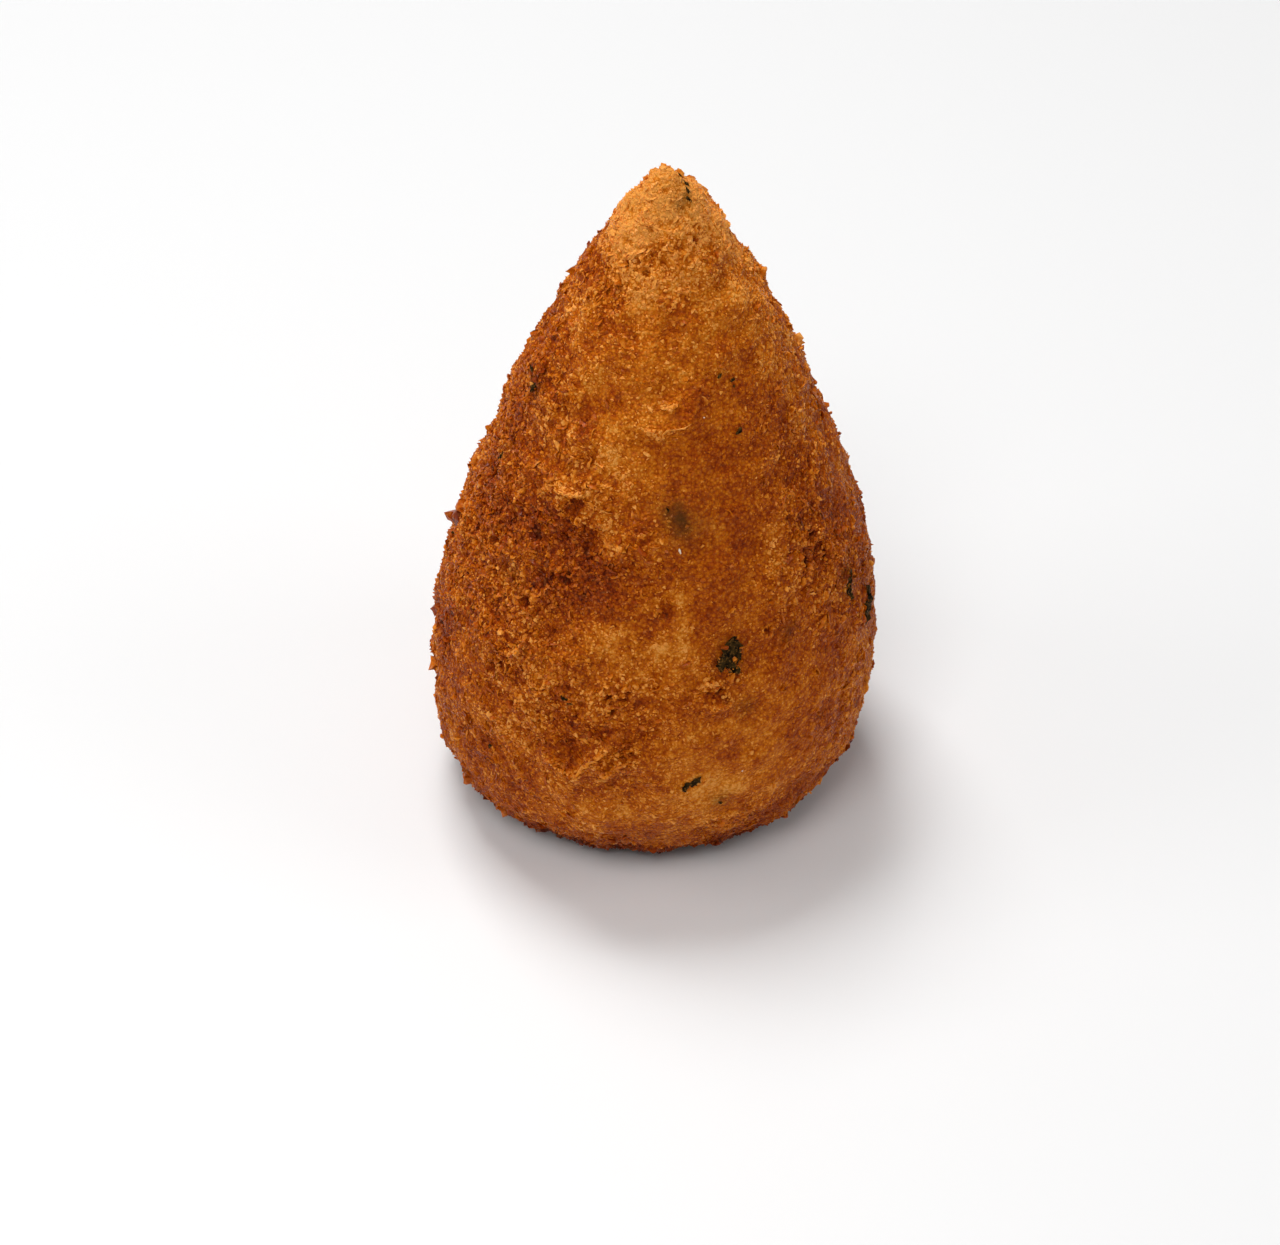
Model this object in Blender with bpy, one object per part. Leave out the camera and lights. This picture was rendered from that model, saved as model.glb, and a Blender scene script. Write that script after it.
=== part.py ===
"""A coxinha: a drop of filled dough, rolled in breadcrumbs and fried, standing on its flattened foot.

Metres, +Z up. The origin is the middle of the flat spot that it stands on. The front faces -Y, and +X is on the
right of someone who looks at the front. An azimuth is 0 at the front and 90 degrees at that person's right.
"""

import math

import bmesh
import bpy
import numpy as np
from mathutils import Matrix, Vector

MM = 0.001

# Driving dimensions of the drop
POINT_HEIGHT = 107.9 * MM
TIP_ROUNDING = 1.6 * MM
BELLY_RADIUS = 32.2 * MM
BELLY_HEIGHT = 30.0 * MM
FOOT_RADIUS = 16.5 * MM
BOWL_POWER = 2.33
SHOULDER_POWER = 1.46
TIP_POWER = 0.87

# The tip stands off the middle of the foot, and the body bows a little on its way there
LEAN = (3.0 * MM, 5.2 * MM)
BOW = (1.1 * MM, 0.4 * MM)

# What the shaping hand left: azimuth, height, spread round, spread up, depth (a press is negative)
HAND_MARKS = (
    (-90, 8 * MM, 40, 9 * MM, 2.0 * MM),
    (90, 7 * MM, 40, 9 * MM, 2.2 * MM),
    (0, 5 * MM, 30, 8 * MM, -2.3 * MM),
    (45, 7 * MM, 28, 9 * MM, -0.7 * MM),
    (-45, 7 * MM, 28, 9 * MM, 0.2 * MM),
    (180, 6 * MM, 45, 9 * MM, -1.2 * MM),
    (-88, 26 * MM, 32, 7 * MM, 0.3 * MM),
    (-88, 38 * MM, 30, 6 * MM, -0.5 * MM),
    (-86, 59 * MM, 38, 13 * MM, -0.8 * MM),
    (88, 64 * MM, 42, 15 * MM, -0.9 * MM),
    (90, 98 * MM, 50, 7 * MM, 0.35 * MM),
    (-33, 55 * MM, 18, 8 * MM, -0.6 * MM),
    (172, 42 * MM, 40, 15 * MM, -1.0 * MM),
    (140, 20 * MM, 34, 10 * MM, 0.8 * MM),
    (-145, 60 * MM, 38, 12 * MM, 0.6 * MM),
    (-34, 4 * MM, 14, 6 * MM, -1.1 * MM),
    (29, 4 * MM, 14, 6 * MM, -0.3 * MM),
    (84, 22 * MM, 25, 6 * MM, 0.7 * MM),
)
MARK_FADE_RADIUS = 12 * MM

# The crags of the fried crumb, as depth and width of each size of lump
CRAGS = ((0.45 * MM, 8.0 * MM), (0.65 * MM, 4.2 * MM))
CRAG_SEED = 11
CRAG_FADE_HEIGHT = 3.5 * MM

# The skin of the drop: a cube's six faces, each this many squares across, with smaller squares at the tip
SQUARES = 24
TIP_ZONE = 9 * MM
TIP_DENSITY = 2.2
PROFILE_STEPS = 160
FOOT_STEPS = 40
SURFACE_STEP = 0.01

# Short ridges where the coating was pushed up: azimuth and height of each end, depth, half width
RIDGES = (
    ((-28, 26.8 * MM), (-19, 25.5 * MM), 0.9 * MM, 1.7 * MM),
    ((-19, 25.5 * MM), (-11, 31.7 * MM), 0.9 * MM, 1.7 * MM),
    ((-12, 27.4 * MM), (-5, 29.4 * MM), 0.7 * MM, 1.5 * MM),
    ((-9, 76.5 * MM), (10, 77.5 * MM), 0.7 * MM, 1.6 * MM),
    ((150, 33.0 * MM), (168, 38.0 * MM), 0.9 * MM, 1.8 * MM),
    ((-162, 65.0 * MM), (-143, 61.0 * MM), 0.8 * MM, 1.7 * MM),
)

# Breadcrumbs large enough to stand out of the crust
CRUMB_COUNT = 110
CRUMB_SEED = 5
CRUMB_SIZES = (1.4 * MM, 2.6 * MM)
CRUMB_LOWEST = 4.0 * MM
CRUMB_TRIES = 14
CRUMB_SUNK = 0.1
CRUMB_JITTER = 0.2
CRUMB_LENGTH = (0.85, 1.25)
CRUMB_THICKNESS = (0.75, 1.0)

# Crumbs that show on the outline: azimuth, height, size
OUTLINE_CRUMBS = (
    (-95, 46.0 * MM, 3.0 * MM),
    (-92, 42.0 * MM, 2.0 * MM),
    (-88, 30.0 * MM, 2.4 * MM),
    (-84, 21.0 * MM, 2.8 * MM),
    (-101, 76.0 * MM, 2.2 * MM),
    (-103, 87.0 * MM, 1.8 * MM),
    (-62, 8.5 * MM, 2.6 * MM),
    (-50, 6.0 * MM, 2.4 * MM),
    (88, 44.5 * MM, 2.2 * MM),
    (96, 66.5 * MM, 2.4 * MM),
    (100, 75.0 * MM, 2.0 * MM),
    (104, 87.0 * MM, 2.2 * MM),
    (2, 5.0 * MM, 2.0 * MM),
)

CRUST_COLOUR = (0.36, 0.115, 0.016, 1.0)
CRUST_ROUGHNESS = 0.62


def clear_scene():
    for obj in list(bpy.data.objects):
        bpy.data.objects.remove(obj)


def crust_material():
    material = bpy.data.materials.new("fried_crust")
    material.use_nodes = True
    shader = material.node_tree.nodes["Principled BSDF"]
    shader.inputs["Base Color"].default_value = CRUST_COLOUR
    shader.inputs["Roughness"].default_value = CRUST_ROUGHNESS
    shader.inputs["Metallic"].default_value = 0.0
    return material


def scramble(cells, seed):
    """A fixed whole number for each lattice cell, mixed from its three indices."""
    x, y, z = (cells[:, i].astype(np.uint64) for i in range(3))
    mixed = x * np.uint64(374761393) + y * np.uint64(668265263) + z * np.uint64(2246822519)
    mixed += np.uint64(seed) * np.uint64(3266489917)
    mixed = (mixed ^ (mixed >> np.uint64(29))) * np.uint64(2654435761)
    mixed = (mixed ^ (mixed >> np.uint64(32))) * np.uint64(1274126177)
    return mixed ^ (mixed >> np.uint64(27))


def cell_numbers(cells, seed):
    """Three fixed random numbers from 0 to 1 for each lattice cell."""
    return np.stack([(scramble(cells, 3 * seed + i) & np.uint64(0xFFFFFF)) / 0xFFFFFF for i in range(3)], 1)


def lattice_noise(points, cell, seed):
    """Gradient noise, about -1 to 1: a random slope at each lattice corner, blended smoothly between corners."""
    scaled = points / cell
    corner = np.floor(scaled).astype(np.int64)
    inside = scaled - corner
    fade = inside**3 * (inside * (inside * 6 - 15) + 10)
    total = np.zeros(len(points))
    for step in np.ndindex(2, 2, 2):
        slope = cell_numbers(corner + step, seed) * 2 - 1
        weight = np.prod(np.where(step, fade, 1 - fade), axis=1)
        total += weight * np.einsum("ij,ij->i", slope, inside - step)
    return 1.5 * total


def profile():
    """Radius and height of the outline from the foot's middle to the tip: a flat foot, a bowl that is a quarter of
    a superellipse, and a shoulder that narrows as a power curve, with its point rounded off as a hyperbola."""
    turn = np.linspace(0, math.pi / 2, PROFILE_STEPS)
    share = np.cos(turn)
    bowl_height = BELLY_HEIGHT * (1 - share)
    spread = (1 - share**BOWL_POWER) ** (1 / BOWL_POWER)
    bowl_radius = FOOT_RADIUS + (BELLY_RADIUS - FOOT_RADIUS) * spread
    rise = np.sin(turn)[1:]
    shoulder_radius = BELLY_RADIUS * (1 - rise**SHOULDER_POWER) ** TIP_POWER
    shoulder_height = BELLY_HEIGHT + (POINT_HEIGHT - BELLY_HEIGHT) * rise
    shoulder_height -= rise * (np.hypot(shoulder_radius, TIP_ROUNDING) - shoulder_radius)
    foot = np.linspace(0, FOOT_RADIUS, FOOT_STEPS)[:-1]
    radius = np.concatenate([foot, bowl_radius, shoulder_radius])
    height = np.concatenate([0 * foot, bowl_height, shoulder_height])
    return radius, height


def skin_share(radius, height):
    """Share of the skin below each point of the outline, with the skin near the tip counted more than once."""
    step = np.hypot(np.diff(radius), np.diff(height))
    middle_radius = (radius[1:] + radius[:-1]) / 2
    middle_height = (height[1:] + height[:-1]) / 2
    density = 1 + TIP_DENSITY * np.exp(-(((POINT_HEIGHT - middle_height) / TIP_ZONE) ** 2))
    area = np.concatenate([[0], np.cumsum(density * middle_radius * step)])
    return area / area[-1]


def smooth_points(directions):
    """Points of the smooth drop for directions on a sphere: straight down is the middle of the foot, straight up is
    the tip, and equal areas of the sphere give equal areas of skin."""
    unit = directions / np.linalg.norm(directions, axis=1)[:, None]
    radius_line, height_line = profile()
    below = skin_share(radius_line, height_line)
    share = (1 + unit[:, 2]) / 2
    radius = np.interp(share, below, radius_line)
    height = np.interp(share, below, height_line)
    azimuth = np.arctan2(unit[:, 0], -unit[:, 1])
    fade = np.minimum(1, radius / MARK_FADE_RADIUS)
    for mark_azimuth, mark_height, spread_round, spread_up, depth in HAND_MARKS:
        turned = (azimuth - math.radians(mark_azimuth) + math.pi) % (2 * math.pi) - math.pi
        reach = (turned / math.radians(spread_round)) ** 2 + ((height - mark_height) / spread_up) ** 2
        radius = radius + depth * fade * np.exp(-reach)
    up = height / POINT_HEIGHT
    x = radius * np.sin(azimuth) + LEAN[0] * up + BOW[0] * np.sin(math.pi * up)
    y = -radius * np.cos(azimuth) + LEAN[1] * up + BOW[1] * np.sin(math.pi * up)
    return np.stack([x, y, height], 1)


def outward(directions):
    """Unit normals of the smooth drop, from two short steps to the side of each direction."""
    unit = directions / np.linalg.norm(directions, axis=1)[:, None]
    helper = np.where(np.abs(unit[:, 2:]) < 0.9, [[0.0, 0.0, 1.0]], [[1.0, 0.0, 0.0]])
    aside = np.cross(helper, unit)
    aside /= np.linalg.norm(aside, axis=1)[:, None]
    upward = np.cross(unit, aside)
    along = smooth_points(unit + SURFACE_STEP * aside) - smooth_points(unit - SURFACE_STEP * aside)
    across = smooth_points(unit + SURFACE_STEP * upward) - smooth_points(unit - SURFACE_STEP * upward)
    normal = np.cross(along, across)
    return normal / np.linalg.norm(normal, axis=1)[:, None]


def ridge_relief(points):
    """Height of the short ridges at each point: a bell curve of the distance to the line between a ridge's ends."""
    relief = np.zeros(len(points))
    for start, end, depth, half_width in RIDGES:
        near, far = smooth_points(np.stack([direction_at(*start), direction_at(*end)]))
        line = far - near
        along = np.clip((points - near) @ line / (line @ line), 0, 1)
        away = np.linalg.norm(points - near - along[:, None] * line, axis=1)
        relief += depth * np.exp(-((away / half_width) ** 2))
    return relief


def crust_points(directions):
    """The smooth drop with its ridges and crags, which fade out towards the flat foot."""
    points = smooth_points(directions)
    relief = ridge_relief(points)
    for number, (depth, width) in enumerate(CRAGS):
        relief += depth * lattice_noise(points, width, CRAG_SEED + number)
    fade = np.clip(points[:, 2] / CRAG_FADE_HEIGHT, 0, 1)
    fade = fade * fade * (3 - 2 * fade)
    return points + outward(directions) * (relief * fade)[:, None]


def direction_at(azimuth, height):
    """The direction on the sphere that gives the point of the skin at this azimuth in degrees and this height."""
    radius_line, height_line = profile()
    share = np.interp(height, height_line, skin_share(radius_line, height_line))
    z = 2 * share - 1
    level = math.sqrt(1 - z * z)
    turn = math.radians(azimuth)
    return np.array([level * math.sin(turn), -level * math.cos(turn), z])


def make_body(collection, material):
    """A cube cut into squares, blown up to a sphere and drawn out to the drop."""
    form = bmesh.new()
    bmesh.ops.create_cube(form, size=2.0)
    bmesh.ops.subdivide_edges(form, edges=form.edges[:], cuts=SQUARES - 1, use_grid_fill=True)
    mesh = bpy.data.meshes.new("coxinha")
    form.to_mesh(mesh)
    form.free()
    cube = np.empty(len(mesh.vertices) * 3)
    mesh.vertices.foreach_get("co", cube)
    # The tangent keeps the squares of one face alike in size once they lie on the sphere
    directions = np.tan(cube.reshape(-1, 3) * math.pi / 4)
    mesh.vertices.foreach_set("co", crust_points(directions).ravel())
    mesh.update()
    mesh.materials.append(material)
    body = bpy.data.objects.new("coxinha", mesh)
    collection.objects.link(body)
    return body


def make_crumb(name, direction, size, draw, collection):
    """One breadcrumb: a ball of twenty faces, knocked out of shape and pressed into the crust."""
    form = bmesh.new()
    bmesh.ops.create_icosphere(form, subdivisions=1, radius=size / 2)
    for vertex in form.verts:
        vertex.co *= 1 + draw.uniform(-CRUMB_JITTER, CRUMB_JITTER)
    mesh = bpy.data.meshes.new(name)
    form.to_mesh(mesh)
    form.free()
    crumb = bpy.data.objects.new(name, mesh)
    place = crust_points(direction[None])[0]
    normal = outward(direction[None])[0]
    thickness = draw.uniform(*CRUMB_THICKNESS, 2)
    stretch = Matrix.Diagonal((draw.uniform(*CRUMB_LENGTH), thickness[0], thickness[1], 1))
    axis = Vector(draw.normal(size=3)).normalized()
    turn = Matrix.Rotation(draw.uniform(0, 2 * math.pi), 4, axis)
    seat = Matrix.Translation(Vector(place - normal * CRUMB_SUNK * size))
    crumb.matrix_world = seat @ turn @ stretch
    collection.objects.link(crumb)


def crumb_places(draw):
    """Direction and size of every large crumb: those of the outline first, then the scattered ones from the largest
    down, each at the one of several random spots that lies farthest from the crumbs before it."""
    taken = [direction_at(azimuth, height) for azimuth, height, size in OUTLINE_CRUMBS]
    sizes = [size for azimuth, height, size in OUTLINE_CRUMBS]
    lowest = direction_at(0, CRUMB_LOWEST)[2]
    low, high = CRUMB_SIZES
    for share in np.linspace(1, 0, CRUMB_COUNT):
        z = draw.uniform(lowest, 1, CRUMB_TRIES)
        turn = draw.uniform(0, 2 * math.pi, CRUMB_TRIES)
        level = np.sqrt(1 - z * z)
        spots = np.stack([level * np.cos(turn), level * np.sin(turn), z], 1)
        nearness = (spots @ np.stack(taken).T).max(axis=1)
        taken.append(spots[nearness.argmin()])
        sizes.append(low + (high - low) * share**2)
    return list(zip(taken, sizes))


def fuse(body, crumbs):
    """Joins every crumb of the collection to the body by one union, applies it, and removes the crumbs."""
    union = body.modifiers.new("crumbs", "BOOLEAN")
    union.operation = "UNION"
    union.operand_type = "COLLECTION"
    union.collection = crumbs
    union.solver = "EXACT"
    bpy.context.view_layer.update()
    evaluated = body.evaluated_get(bpy.context.evaluated_depsgraph_get())
    joined = bpy.data.meshes.new_from_object(evaluated)
    body.modifiers.clear()
    body.data = joined
    joined.name = body.name
    for crumb in list(crumbs.objects):
        bpy.data.objects.remove(crumb)
    bpy.data.collections.remove(crumbs)


def main():
    clear_scene()
    parts = bpy.data.collections.new("coxinha")
    crumbs = bpy.data.collections.new("crumbs")
    for collection in (parts, crumbs):
        bpy.context.scene.collection.children.link(collection)
    body = make_body(parts, crust_material())
    draw = np.random.default_rng(CRUMB_SEED)
    for number, (direction, size) in enumerate(crumb_places(draw)):
        make_crumb(f"crumb_{number:03d}", direction, size, draw, crumbs)
    fuse(body, crumbs)


main()
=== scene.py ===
# %% [markdown]
# # A fried coxinha, crumb by crumb
# A coxinha is a drop of dough round a filling, rolled in breadcrumbs and deep-fried until golden brown. The
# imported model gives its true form. This lesson dresses it: a cratered crust, tens of thousands of crumbs,
# scraps of parsley, the colours that frying leaves, and soft light. All is in metres, with +Z up. The front
# faces -Y, and +X is on the right of someone who looks at it.

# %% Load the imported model
import math

import bpy
import numpy as np
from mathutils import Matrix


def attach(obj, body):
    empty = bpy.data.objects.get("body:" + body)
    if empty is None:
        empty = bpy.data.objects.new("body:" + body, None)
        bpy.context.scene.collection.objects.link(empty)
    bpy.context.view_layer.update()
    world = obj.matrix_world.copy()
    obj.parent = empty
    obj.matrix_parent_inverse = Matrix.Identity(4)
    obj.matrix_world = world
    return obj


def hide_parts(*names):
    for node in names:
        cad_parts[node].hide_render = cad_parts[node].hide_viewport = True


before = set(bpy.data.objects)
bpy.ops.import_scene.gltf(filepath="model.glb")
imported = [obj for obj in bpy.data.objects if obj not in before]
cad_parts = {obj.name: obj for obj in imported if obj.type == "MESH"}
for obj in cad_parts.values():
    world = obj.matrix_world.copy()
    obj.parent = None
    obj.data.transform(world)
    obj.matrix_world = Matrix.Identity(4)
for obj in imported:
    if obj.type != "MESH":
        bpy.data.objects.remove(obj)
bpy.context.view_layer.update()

MM = 0.001
for lamp_or_camera in [thing for thing in bpy.data.objects if thing.type in ("LIGHT", "CAMERA")]:
    bpy.data.objects.remove(lamp_or_camera)


def in_metres(columns, *rows):
    """The rows of a table whose lengths, in the given columns, are written in millimetres."""
    return [tuple(x * MM if place in columns else x for place, x in enumerate(row)) for row in rows]


def add_object(name, data):
    thing = bpy.data.objects.new(name, data)
    bpy.context.scene.collection.objects.link(thing)
    return thing


# %% [markdown]
# ## The form of the drop
# A round belly, shoulders that run up to a point, and a small flat foot. It could be sculpted. Here it is a
# formula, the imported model's own, so that each crumb and leaf can be put exactly on it.

# %% The profile and the marks of the hand
POINT_HEIGHT = 107.9 * MM
TIP_ROUNDING = 1.6 * MM
BELLY_RADIUS = 32.2 * MM
BELLY_HEIGHT = 30.0 * MM
FOOT_RADIUS = 16.5 * MM
BOWL_POWER = 2.33
SHOULDER_POWER = 1.46
TIP_POWER = 0.87
LEAN = (3.0 * MM, 5.2 * MM)
BOW = (1.1 * MM, 0.4 * MM)
# Azimuth, height, spread round, spread up, depth (a press is negative)
HAND_MARKS = in_metres(
    (1, 3, 4),
    (-90, 8, 40, 9, 2), (90, 7, 40, 9, 2.2), (0, 5, 30, 8, -2.3), (45, 7, 28, 9, -0.7),
    (-45, 7, 28, 9, 0.2), (180, 6, 45, 9, -1.2), (-88, 26, 32, 7, 0.3), (-88, 38, 30, 6, -0.5),
    (-86, 59, 38, 13, -0.8), (88, 64, 42, 15, -0.9), (90, 98, 50, 7, 0.35), (-33, 55, 18, 8, -0.6),
    (172, 42, 40, 15, -1), (140, 20, 34, 10, 0.8), (-145, 60, 38, 12, 0.6), (-34, 4, 14, 6, -1.1),
    (29, 4, 14, 6, -0.3), (84, 22, 25, 6, 0.7),
)
MARK_FADE_RADIUS = 12 * MM
TIP_ZONE = 9 * MM
TIP_DENSITY = 2.2
PROFILE_STEPS = 160
FOOT_STEPS = 40


def profile():
    """Radius and height from the foot's middle to the tip: a flat foot, a bowl that is a quarter of a
    superellipse, and a shoulder that narrows as a power curve, with its point rounded off as a hyperbola."""
    turn = np.linspace(0, math.pi / 2, PROFILE_STEPS)
    share = np.cos(turn)
    bowl_height = BELLY_HEIGHT * (1 - share)
    spread = (1 - share**BOWL_POWER) ** (1 / BOWL_POWER)
    bowl_radius = FOOT_RADIUS + (BELLY_RADIUS - FOOT_RADIUS) * spread
    rise = np.sin(turn)[1:]
    shoulder_radius = BELLY_RADIUS * (1 - rise**SHOULDER_POWER) ** TIP_POWER
    shoulder_height = BELLY_HEIGHT + (POINT_HEIGHT - BELLY_HEIGHT) * rise
    shoulder_height -= rise * (np.hypot(shoulder_radius, TIP_ROUNDING) - shoulder_radius)
    foot = np.linspace(0, FOOT_RADIUS, FOOT_STEPS)[:-1]
    radius = np.concatenate([foot, bowl_radius, shoulder_radius])
    return radius, np.concatenate([0 * foot, bowl_height, shoulder_height])


def skin_share(radius, height):
    """Share of the skin below each point of the profile, with skin near the tip counted more than once."""
    step = np.hypot(np.diff(radius), np.diff(height))
    middle_radius = (radius[1:] + radius[:-1]) / 2
    middle_height = (height[1:] + height[:-1]) / 2
    density = 1 + TIP_DENSITY * np.exp(-(((POINT_HEIGHT - middle_height) / TIP_ZONE) ** 2))
    area = np.concatenate([[0], np.cumsum(density * middle_radius * step)])
    return area / area[-1]


RADIUS_LINE, HEIGHT_LINE = profile()
SHARE_LINE = skin_share(RADIUS_LINE, HEIGHT_LINE)
print("profile points", len(RADIUS_LINE), "widest", round(RADIUS_LINE.max() / MM, 1), "mm")

# %% [markdown]
# ## From a direction to a place on the skin
# A direction is a point of a unit sphere: straight down is the foot, straight up the tip. Equal areas of it
# give equal areas of skin, so random directions spread crumbs evenly.

# %% Points, normals and directions of the smooth drop
SURFACE_STEP, NEAR_A_POLE = 0.01, 0.9


def unit(vectors):
    return vectors / np.linalg.norm(vectors, axis=-1, keepdims=True)


def middle_line(height):
    """The middle of the drop at each height: a straight lean and half a sine wave of bow."""
    up = height / POINT_HEIGHT
    return [lean * up + bow * np.sin(math.pi * up) for lean, bow in zip(LEAN, BOW)]


def smooth_points(directions):
    """The profile turned about its middle line. The share of the sphere below a direction picks the
    profile's point, its azimuth picks the side, and each mark of the hand adds a bell curve."""
    way = unit(directions)
    share = (1 + way[:, 2]) / 2
    radius = np.interp(share, SHARE_LINE, RADIUS_LINE)
    height = np.interp(share, SHARE_LINE, HEIGHT_LINE)
    azimuth = np.arctan2(way[:, 0], -way[:, 1])
    fade = np.minimum(1, radius / MARK_FADE_RADIUS)
    for mark_azimuth, mark_height, spread_round, spread_up, depth in HAND_MARKS:
        turned = (azimuth - math.radians(mark_azimuth) + math.pi) % (2 * math.pi) - math.pi
        reach = (turned / math.radians(spread_round)) ** 2 + ((height - mark_height) / spread_up) ** 2
        radius = radius + depth * fade * np.exp(-reach)
    x, y = middle_line(height)
    return np.stack([x + radius * np.sin(azimuth), y - radius * np.cos(azimuth), height], 1)


def outward(directions):
    """Normals of the smooth drop: the cross product of two short steps to the side of each direction."""
    way = unit(directions)
    helper = np.where(np.abs(way[:, 2:]) < NEAR_A_POLE, [[0.0, 0.0, 1.0]], [[1.0, 0.0, 0.0]])
    aside = unit(np.cross(helper, way))
    upward = np.cross(way, aside)
    along, across = (smooth_points(way + SURFACE_STEP * step) - smooth_points(way - SURFACE_STEP * step)
                     for step in (aside, upward))
    return unit(np.cross(along, across))


def level_and_uphill(normals):
    """Two directions along the skin at each normal: one level and one uphill."""
    level = unit(np.cross(np.array([0.0, 0.0, 1.0]), normals))
    return level, np.cross(normals, level)


def direction_at(azimuth, height):
    """The direction for an azimuth in degrees and a height: the profile read backwards."""
    z = 2 * np.interp(height, HEIGHT_LINE[FOOT_STEPS:], SHARE_LINE[FOOT_STEPS:]) - 1
    level = np.sqrt(1 - z * z)
    turn = np.radians(azimuth)
    return np.stack([level * np.sin(turn), -level * np.cos(turn), z], -1)


def direction_of(points):
    """The direction of the skin beside each point in space: azimuth about the middle line, and height."""
    x, y = middle_line(points[:, 2])
    azimuth = np.degrees(np.arctan2(points[:, 0] - x, -(points[:, 1] - y)))
    return direction_at(azimuth, points[:, 2])


print("tip at", np.round(smooth_points(np.array([[0.0, 0.0, 1.0]]))[0] / MM, 1), "mm")

# %% [markdown]
# ## Noise that belongs to space
# Nothing on fried crumb repeats. These noises work on whole arrays of points, so the bumps become real mesh.
# Lattice noise is soft and rolling. Cell noise makes pores, grains and their borders.

# %% Lattice noise, warps and cell noise
NOISE_GAIN, FAR_AWAY, NUMBER_MIX = 1.5, 9.0, 7.0


def scramble(cells, seed):
    """A fixed whole number for each lattice cell, mixed from its three indices by large odd factors."""
    x, y, z = (cells[:, i].astype(np.uint64) for i in range(3))
    mixed = x * np.uint64(374761393) + y * np.uint64(668265263) + z * np.uint64(2246822519)
    mixed += np.uint64(seed) * np.uint64(3266489917)
    mixed = (mixed ^ (mixed >> np.uint64(29))) * np.uint64(2654435761)
    mixed = (mixed ^ (mixed >> np.uint64(32))) * np.uint64(1274126177)
    return mixed ^ (mixed >> np.uint64(27))


def cell_numbers(cells, seed):
    return np.stack([(scramble(cells, 3 * seed + i) & np.uint64(0xFFFFFF)) / 0xFFFFFF for i in range(3)], 1)


def lattice_noise(points, cell, seed):
    """Gradient noise, about -1 to 1: a random slope at each lattice corner, blended smoothly between."""
    scaled = points / cell
    corner = np.floor(scaled).astype(np.int64)
    inside = scaled - corner
    fade = inside**3 * (inside * (inside * 6 - 15) + 10)
    total = np.zeros(len(points))
    for step in np.ndindex(2, 2, 2):
        slope = cell_numbers(corner + step, seed) * 2 - 1
        weight = np.prod(np.where(step, fade, 1 - fade), axis=1)
        total += weight * np.einsum("ij,ij->i", slope, inside - step)
    return NOISE_GAIN * total


def add_noises(total, points, noises):
    """Adds lattice noises to a number for each point. Each has a depth, a cell size and a seed."""
    for depth, cell, seed in noises:
        total += depth * lattice_noise(points, cell, seed)
    return total


def noise_shift(points, cell, seed):
    return np.stack([lattice_noise(points, cell, seed + i) for i in range(3)], 1)


def warped_by(points, warps):
    """The points moved by noise shifts. Each warp has a reach, a cell size and a seed."""
    moved = points.copy()
    for reach, cell, seed in warps:
        moved += reach * noise_shift(points, cell, seed)
    return moved


def cell_noise(points, cell, seed):
    """Distance to the nearest seed point, to the second nearest, and the nearest one's own random number.
    There is one seed point in each lattice cell, and the 27 cells round a point are searched."""
    scaled = points / cell
    corner = np.floor(scaled).astype(np.int64)
    nearest = np.full(len(points), FAR_AWAY)
    second = np.full(len(points), FAR_AWAY)
    number = np.zeros(len(points))
    for step in np.ndindex(3, 3, 3):
        neighbour = corner + step - 1
        numbers = cell_numbers(neighbour, seed)
        away = np.linalg.norm(scaled - neighbour - numbers, axis=1)
        closer = away < nearest
        second = np.where(closer, nearest, np.minimum(second, away))
        number = np.where(closer, (numbers.sum(axis=1) * NUMBER_MIX) % 1.0, number)
        nearest = np.where(closer, away, nearest)
    return nearest * cell, second * cell, number


def soft_step(low, high, values):
    """0 below low, 1 above high, and an S curve between."""
    share = np.clip((values - low) / (high - low), 0, 1)
    return share * share * (3 - 2 * share)


# %% [markdown]
# ## Where the photograph was taken from
# The picture looks down from 43 degrees through a long lens. The camera comes early, because what the
# picture shows is placed by its pixel: the skin point that projects onto it.

# %% The camera and its projection
PHOTO_WIDTH, PHOTO_HEIGHT = 1280, 1245
FOCAL_PIXELS = 4234.0
VIEW_ELEVATION = math.radians(43.3)
VIEW_DISTANCE = 634.5 * MM
AIM_POINT = np.array([0.0, 4.6, 14.1]) * MM
AIM_PIXEL = np.array([644.0, 668.5])
SENSOR_WIDTH = 36.0

pitch = VIEW_ELEVATION - math.atan((AIM_PIXEL[1] - PHOTO_HEIGHT / 2) / FOCAL_PIXELS)
side_step = (PHOTO_WIDTH / 2 - AIM_PIXEL[0]) / FOCAL_PIXELS * VIEW_DISTANCE
view_line = np.array([0, -math.cos(VIEW_ELEVATION), math.sin(VIEW_ELEVATION)])
camera_place = AIM_POINT + VIEW_DISTANCE * view_line
camera_place[0] += side_step
camera_right = np.array([1.0, 0.0, 0.0])
camera_forward = np.array([0.0, math.cos(pitch), -math.sin(pitch)])
camera_up = np.cross(camera_right, camera_forward)

lens = bpy.data.cameras.new("photo_camera")
lens.sensor_width = SENSOR_WIDTH
lens.lens = SENSOR_WIDTH * FOCAL_PIXELS / PHOTO_WIDTH
lens.clip_start = 10 * MM
camera = add_object("photo_camera", lens)
camera.location = camera_place
camera.rotation_euler = (math.pi / 2 - pitch, 0, 0)
bpy.context.scene.camera = camera


def pixels_of(points):
    """Pinhole projection: the sideways and upward share of each point's depth, times the focal length."""
    ray = points - camera_place
    depth = ray @ camera_forward
    across = PHOTO_WIDTH / 2 + FOCAL_PIXELS * (ray @ camera_right) / depth
    down = PHOTO_HEIGHT / 2 - FOCAL_PIXELS * (ray @ camera_up) / depth
    return np.stack([across, down], 1)


print("camera at", np.round(camera_place / MM), "mm, lens", round(lens.lens, 1), "mm")

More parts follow.
